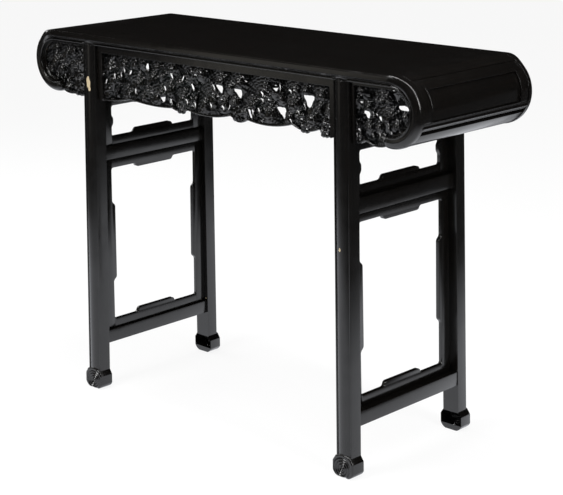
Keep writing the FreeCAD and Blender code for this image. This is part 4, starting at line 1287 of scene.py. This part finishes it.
LEFT_SHARES = {
    "heads": (
        (0.99, 0.39, 0.23, 20, 110), (0.63, 0.66, 0.2, 80, 110), (0.3, 0.49, 0.23, 80, 110),
        (0.33, 0.93, 0.23, 70, 115), (0.16, 0.99, 0.17, 120, 110), (0.79, 0.91, 0.29, 50, 110),
        (0.52, 0.85, 0.23, 90, 160), (0.8, 0.64, 0.29, 80, 110), (0.89, 0.45, 0.2, 40, 110),
        (0.64, 0.48, 0.17, 120, 110), (0.17, 0.69, 0.17, 80, 110), (0.51, 0.1, 0.2, 260, 110),
        (0.78, 0.15, 0.23, 280, 110),
    ),
    "stems": (
        (0.21, 0.81, 0.38, 0.3, -0.14), (1.01, 0.97, 0.99, 0.3, -0.05), (0.64, 0.4, 0.61, 0.09, 0.05),
        (0.92, 0.71, 1.03, 0.52, 0.04), (0.07, 0.88, 0.11, 0.43, 0.03), (0.51, 1.08, 0.91, 1.03, 0.05),
        (0.89, 0.27, 0.69, 0.34, 0.04),
    ),
    "rosettes": (
        (0.23, 0.37, 0.17), (0.22, 0.15, 0.2), (0.32, 0.62, 0.14),
    ),
    "tips": (
        (0.73, 0.45, 0.69, 0.21, 0.05), (0.46, 0.46, 0.38, 0.3, 0.06), (0.13, 1.01, 0.1, 0.94, 0.05),
        (0.51, 0.8, 0.49, 0.73, 0.045), (0.56, 0.42, 0.53, 0.26, 0.05), (0.66, 0.98, 0.63, 0.92, 0.05),
        (0.4, 0.98, 0.36, 0.92, 0.045), (0.1, 0.5, 0.07, 0.44, 0.045),
    ),
    "gaps": (
        (0.48, 0.3, 0.035, 0.045, 0),
    )}


# How far rosettes may hang below the lower edge
HANG = 4 * MM


def motifs_at(place, field, shares):
    """Carved forms at their real places and sizes."""
    def routes(rows):
        return [(place(start_x, start_z), place(end_x, end_z), bow * field)
                for start_x, start_z, end_x, end_z, bow in rows]

    heads = [(*place(x, z), radius * field, math.radians(facing), math.radians(spread))
             for x, z, radius, facing, spread in shares["heads"]]
    rosettes = [(*place(x, z), radius * field) for x, z, radius in shares["rosettes"]]
    gaps = [(*place(x, z), half_width * field, half_height * field, math.radians(slant))
            for x, z, half_width, half_height, slant in shares["gaps"]]
    bow = carving_sizes().tip_bow
    tips = [((place(start_x, start_z), place(end_x, end_z), bow), width * field)
            for start_x, start_z, end_x, end_z, width in shares["tips"]]
    return {"heads": heads, "stems": routes(shares["stems"]), "rosettes": rosettes, "tips": tips,
            "gaps": gaps}


def long_apron_mesh(shares):
    """Long carved board, drawn as the rear one: it faces +Y, and its left is the front one's right."""
    s = carving_sizes()
    top = edge_bottom()
    low = top - s.height
    field_top = top - s.long_fascia
    field = field_top - low
    half_bay = leg_side(low, False)

    def place(x_share, z_share):
        return (x_share * half_bay, low + z_share * field)

    motifs = motifs_at(place, field, shares)
    edge_points = [(x * half_bay, low + z * s.scallop) for x, z in LONG_EDGE_SHARES]

    def carve(x, z):
        side = leg_side(z, False) - np.abs(x)
        edge = festoon(x, z, edge_points)
        sides = np.minimum(side, top - z)
        window = np.minimum(side - s.long_stile, field_top - z)
        return framed_carving(x, z, sides, edge, window, motifs)

    reach = half_bay + 2 * s.cell
    return relief_mesh(lambda x, z: carve(-x, z), (-reach, low - HANG), (reach, top + s.cell), s.cell,
                       s.face_y, s.face_y - s.carved_thickness)


def end_bay_mesh(shares):
    """Carved board of an end bay, drawn for the rear right: it faces +Y."""
    s = carving_sizes()
    t = top_sizes()
    joint = 0.3 * MM
    band_tail = 20 * MM
    leg_margin = 3 * MM
    end_margin = 1 * MM
    top = edge_bottom()
    low = top - s.height
    field = top - s.long_fascia - low
    field_top = top - s.end_fascia
    start = leg_side(low, True)
    band_radius = t.scroll_radius - t.edge_height - joint
    bay = t.scroll_axis_x + t.scroll_radius - t.edge_height - start
    centre = scroll_axis()

    def place(x_share, z_share):
        return (start + x_share * bay, low + z_share * field)

    motifs = motifs_at(place, field, shares)
    edge_points = [(place(x, 0)[0], low + z * s.scallop) for x, z in END_EDGE_SHARES]

    def carve(x, z):
        from_centre = np.hypot(x - centre[0], z - centre[1])
        beyond = (x > centre[0]) | (z < centre[1])
        in_band = np.where(beyond & (x > centre[0] - band_tail), band_radius - from_centre, FAR)
        side = x - leg_side(z, True)
        edge = np.where(x > edge_points[-1][0], FAR, festoon(x, z, edge_points))
        sides = np.minimum.reduce([side, top - z, in_band])
        bend = np.where(x > centre[0], band_radius + joint - s.border - from_centre, FAR)
        window = np.minimum.reduce([side - s.end_stile, field_top - z, bend])
        return framed_carving(x, z, sides, edge, window, motifs)

    return relief_mesh(carve, (start - leg_margin, low - HANG), (start + bay + end_margin, top + s.cell),
                       s.cell, s.face_y, s.face_y - s.carved_thickness)


# Rails, strips and plain boards, which follow their solids

def eased_copy(node, finish_name):
    """Copy of a solid with its arrises rounded."""
    flat_limit = math.radians(0.5)
    crease_limit = math.radians(35)
    arris_steps = 2
    mesh = bmesh.new()
    mesh.from_mesh(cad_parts[node].data)
    bmesh.ops.remove_doubles(mesh, verts=mesh.verts, dist=MERGE_DISTANCE)
    bmesh.ops.dissolve_limit(mesh, angle_limit=flat_limit, verts=mesh.verts, edges=mesh.edges,
                             use_dissolve_boundaries=False, delimit=set())
    bevel_sharp(mesh, crease_limit, leg_sizes().arris, arris_steps)
    add_piece(node + "_eased", mesh, finish_name, [node])


# Stage

def add_floor():
    half_size = 12
    shift = 4
    mesh = bmesh.new()
    bmesh.ops.create_grid(mesh, x_segments=1, y_segments=1, size=half_size)
    bmesh.ops.translate(mesh, vec=(-shift, shift, 0), verts=mesh.verts)
    mesh_object("studio_floor", mesh, floor_paper())


def floor_paper():
    """Seamless white paper: white to the camera, with soft shadows. In the gloss it is white in a pool
    near the table and dark further out."""
    material = new_material("White paper")
    pool_centre = (-0.3, -0.05, 0)
    pool_reach = 1.3
    dark_reach = 2.1
    pool_glow = 1.25
    dark_glow = 0.05
    cool_white = (0.93, 0.95, 1)
    paper = add_node(material, "BsdfDiffuse", {"Color": rgba(finishes().floor)}).outputs[0]
    path = add_node(material, "LightPath")
    place = add_node(material, "TexCoord").outputs["Object"]
    away = add_node(material, "VectorMath", {"operation": "DISTANCE", 1: pool_centre}, {0: place})
    pool = add_node(material, "MapRange", {"From Min": pool_reach, "From Max": dark_reach,
                                           "To Min": pool_glow, "To Max": dark_glow},
                    {"Value": away.outputs["Value"]}).outputs[0]
    glow = add_node(material, "Emission", {"Color": rgba(WHITE), "Strength": 1.02}).outputs[0]
    in_gloss = add_node(material, "Emission", {"Color": rgba(cool_white)}, {"Strength": pool}).outputs[0]
    seen = add_node(material, "MixShader", {0: 0.85}, {1: paper, 2: glow}).outputs[0]
    to_camera = add_node(material, "MixShader", {},
                         {0: path.outputs["Is Camera Ray"], 1: paper, 2: seen}).outputs[0]
    shiny = add_node(material, "Math", {"operation": "MAXIMUM"},
                     {0: path.outputs["Is Glossy Ray"], 1: path.outputs["Is Transmission Ray"]}).outputs[0]
    all_rays = add_node(material, "MixShader", {}, {0: shiny, 1: to_camera, 2: in_gloss}).outputs[0]
    add_node(material, "OutputMaterial", links={"Surface": all_rays})
    return material


def add_area(name, place, target, width, tall, power, tint):
    lamp = bpy.data.lights.new(name, "AREA")
    lamp.shape = "RECTANGLE"
    lamp.size = width
    lamp.size_y = tall
    lamp.energy = power
    lamp.color = tint
    holder = new_object(name, lamp)
    holder.location = place
    holder.rotation_euler = (Vector(target) - Vector(place)).to_track_quat("-Z", "Y").to_euler()


def add_world():
    """Dim room: white where the camera sees it, nearly black in the gloss, and grey for soft light."""
    world = bpy.data.worlds.new("Dim studio")
    bpy.context.scene.world = world
    world.use_nodes = True
    world.node_tree.nodes.clear()
    soft_light = 0.45
    gloss_light = 0.004
    path = add_node(world, "LightPath")
    seen = add_node(world, "Math", {"operation": "MAXIMUM"},
                    {0: path.outputs["Is Camera Ray"], 1: path.outputs["Is Transmission Ray"]})
    soft = add_node(world, "MapRange", {"To Min": soft_light, "To Max": gloss_light},
                    {"Value": path.outputs["Is Glossy Ray"]})
    strength = add_node(world, "Math", {"operation": "MAXIMUM"}, {0: seen.outputs[0], 1: soft.outputs[0]})
    sky = add_node(world, "Background", {"Color": rgba(WHITE)}, {"Strength": strength.outputs[0]})
    add_node(world, "OutputWorld", links={"Surface": sky.outputs[0]})


# Lamps: place, target, width, height, power and tint. One strong light overhead, smaller ones for the
# carving's glints, and a grey card at the front left, whose reflection lies on the flat front faces
LAMPS = {
    "overhead": ((0.1, -0.2, 2.7), (0, 0, 0.5), 0.9, 0.9, 40, WHITE),
    "right_strip": ((1.7, -0.15, 2.75), (1.7, -0.15, 0), 2.2, 0.35, 30, WHITE),
    "right_softbox": ((2.9, -0.35, 1.85), (0.5, -0.2, 0.8), 0.5, 1.5, 32, WHITE),
    "front_glint": ((-0.48, -1.85, 2.25), (0, -0.17, 0.76), 0.9, 0.45, 32, WHITE),
    "left_softbox": ((-2.7, 0.0, 1.6), (0, 0, 0.5), 1.3, 1.3, 22, WHITE),
    "grey_card": ((-2.16, -2.67, 1.13), (-0.21, 0.11, 0.93), 0.9, 1.95, 2.8, (1, 0.96, 0.86))}


def add_camera():
    """Camera at the photograph's place. Its axis meets the picture above the middle, so the lens is
    shifted."""
    place = (2.450735, -2.498617, 1.337706)
    frame_width = 563
    sensor = 36
    focal_pixels = 1625.165
    axis_rise_pixels = 60
    yaw = 0.76695
    pitch = 0.23175
    roll = -0.01195
    data = bpy.data.cameras.new("photo_view")
    data.sensor_width = sensor
    data.sensor_fit = "HORIZONTAL"
    data.lens = focal_pixels * sensor / frame_width
    data.shift_y = -axis_rise_pixels / frame_width
    camera = new_object("photo_view", data)
    forward = Vector((-math.sin(yaw) * math.cos(pitch), math.cos(yaw) * math.cos(pitch), -math.sin(pitch)))
    level = Vector((math.cos(yaw), math.sin(yaw), 0))
    upright = level.cross(forward)
    right = level * math.cos(roll) + upright * math.sin(roll)
    up = upright * math.cos(roll) - level * math.sin(roll)
    turn = Matrix((right, up, -forward)).transposed().to_4x4()
    camera.matrix_world = Matrix.Translation(place) @ turn
    bpy.context.scene.camera = camera


# Operators, which add the pieces to the scene

class AddStage(bpy.types.Operator):
    """Floor, lights, world and the camera at the photograph's angle"""
    bl_idname = "altar.stage"
    bl_label = "Stage"

    def execute(self, context):
        add_floor()
        add_world()
        for name, values in LAMPS.items():
            add_area(name, *values)
        add_camera()
        return {"FINISHED"}


class AddTop(bpy.types.Operator):
    """Flat top: the panel, its moulded rails, the cross rails and the battens"""
    bl_idname = "altar.top"
    bl_label = "Top"

    def execute(self, context):
        rail = edge_rail_mesh()
        add_piece("edge_rail_front", mirrored(rail, 1), ALONG, ["top_front_rail"])
        add_piece("edge_rail_rear", rail, ALONG, ["top_rear_rail"])
        end_rail = end_rail_mesh()
        add_piece("cross_rail_left", mirrored(end_rail, 0), ACROSS, ["top_left_end_rail"])
        add_piece("cross_rail_right", end_rail, ACROSS, ["top_right_end_rail"])
        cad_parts["top_panel"].data.materials.clear()
        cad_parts["top_panel"].data.materials.append(finish(ALONG))
        for place in ("left", "centre", "right"):
            eased_copy("batten_" + place, BATTEN)
        return {"FINISHED"}


class AddScrollEnds(bpy.types.Operator):
    """Scroll ends: the moulded bands and the curved end boards"""
    bl_idname = "altar.scroll_ends"
    bl_label = "Scroll ends"

    def execute(self, context):
        s = top_sizes()
        band = scroll_band_mesh()
        bead = panel_bead_mesh()
        outer = s.scroll_radius - s.board_inset
        inner = s.scroll_radius - s.board_thickness
        half_width = end_board_half()
        boards = {
            "end_upper_rail": end_board_mesh(outer, inner, half_width, s.crease, s.panel_top),
            "end_panel": end_board_mesh(outer - s.panel_inset, outer - s.panel_inset - s.panel_thickness,
                                        s.panel_half_depth, s.panel_top, s.panel_bottom),
            "scroll_lip": end_board_mesh(outer, inner, half_width, s.groove_bottom, s.band_end),
            "end_lower_rail": lower_rail_mesh()}
        for side, sign in SIDES.items():
            for depth, toward in DEPTHS.items():
                add_piece(f"scroll_edge_{depth}_{side}", at_corner(band, sign, toward), UPRIGHT,
                          [f"scroll_band_{depth}_{side}"])
                eased_copy(f"end_stile_{depth}_{side}", UPRIGHT)
            add_piece(f"panel_bead_{side}", at_corner(bead, sign, 1), ACROSS, [])
            for name, mesh in boards.items():
                add_piece(f"{name}_{side}_face", at_corner(mesh, sign, 1), ACROSS,
                          [f"{name}_{side}"])
        return {"FINISHED"}


class AddLegs(bpy.types.Operator):
    """Four splayed legs with carved feet"""
    bl_idname = "altar.legs"
    bl_label = "Legs"

    def execute(self, context):
        post = leg_mesh()
        foot = foot_mesh()
        for side, sign in SIDES.items():
            for depth, toward in DEPTHS.items():
                node = f"leg_{depth}_{side}"
                for name, mesh in (("post", post), ("foot", foot)):
                    add_piece(f"{name}_{depth}_{side}", at_corner(mesh, sign, toward), UPRIGHT,
                              [node])
        return {"FINISHED"}


class AddSideFrames(bpy.types.Operator):
    """Rails and shaped strips that join the legs in pairs"""
    bl_idname = "altar.side_frames"
    bl_label = "Side frames"

    def execute(self, context):
        for side in SIDES:
            for rail in ("stretcher", "mid_rail", "upper_rail", "head_rail"):
                eased_copy(f"{rail}_{side}", ACROSS)
            for strip in ("lower_strip", "upper_strip"):
                for place in ("bottom", "top"):
                    eased_copy(f"{strip}_{place}_{side}", ACROSS)
                for place in ("front", "rear"):
                    eased_copy(f"{strip}_{place}_{side}", UPRIGHT)
        return {"FINISHED"}


class AddCarvings(bpy.types.Operator):
    """Long pierced aprons and the four carved end bays"""
    bl_idname = "altar.carvings"
    bl_label = "Carvings"

    def execute(self, context):
        front = half_turned(long_apron_mesh(LONG_SHARES))
        rear = long_apron_mesh(dict(LONG_SHARES, gaps=LONG_SHARES["gaps"] + REAR_GAP_SHARES))
        add_piece("carved_apron_front", front, CARVED, ["apron_front"])
        add_piece("carved_apron_rear", rear, CARVED, ["apron_rear"])
        bays = {1: end_bay_mesh(RIGHT_SHARES), -1: end_bay_mesh(LEFT_SHARES)}
        for side, sign in SIDES.items():
            for depth, toward in DEPTHS.items():
                piece = at_corner(bays[-sign * toward], sign, toward)
                add_piece(f"carved_bay_{depth}_{side}", piece, CARVED,
                          [f"end_bay_{depth}_{side}"])
        return {"FINISHED"}


class AltarPanel(bpy.types.Panel):
    """Pieces of the altar table, in the order in which they are made"""
    bl_idname = "VIEW3D_PT_altar"
    bl_label = "Altar Table"
    bl_space_type = "VIEW_3D"
    bl_region_type = "UI"
    bl_category = "Altar Table"

    def draw(self, context):
        for operator in OPERATORS:
            self.layout.operator(operator.bl_idname)


GROUPS = {"altar_top": TopSizes, "altar_legs": LegSizes, "altar_carving": CarvingSizes,
          "altar_finishes": Finishes}
OPERATORS = (AddStage, AddTop, AddScrollEnds, AddLegs, AddSideFrames, AddCarvings)


def register():
    for kind in (*GROUPS.values(), *OPERATORS, AltarPanel):
        bpy.utils.register_class(kind)
    for name, kind in GROUPS.items():
        setattr(bpy.types.Scene, name, bpy.props.PointerProperty(type=kind))


def unregister():
    for name in GROUPS:
        delattr(bpy.types.Scene, name)
    for kind in reversed((*GROUPS.values(), *OPERATORS, AltarPanel)):
        bpy.utils.unregister_class(kind)


def main():
    register()
    bpy.context.scene.view_settings.view_transform = "Standard"
    bpy.ops.altar.stage()
    bpy.ops.altar.top()
    bpy.ops.altar.scroll_ends()
    bpy.ops.altar.legs()
    bpy.ops.altar.side_frames()
    bpy.ops.altar.carvings()


if __name__ == "__main__":
    main()
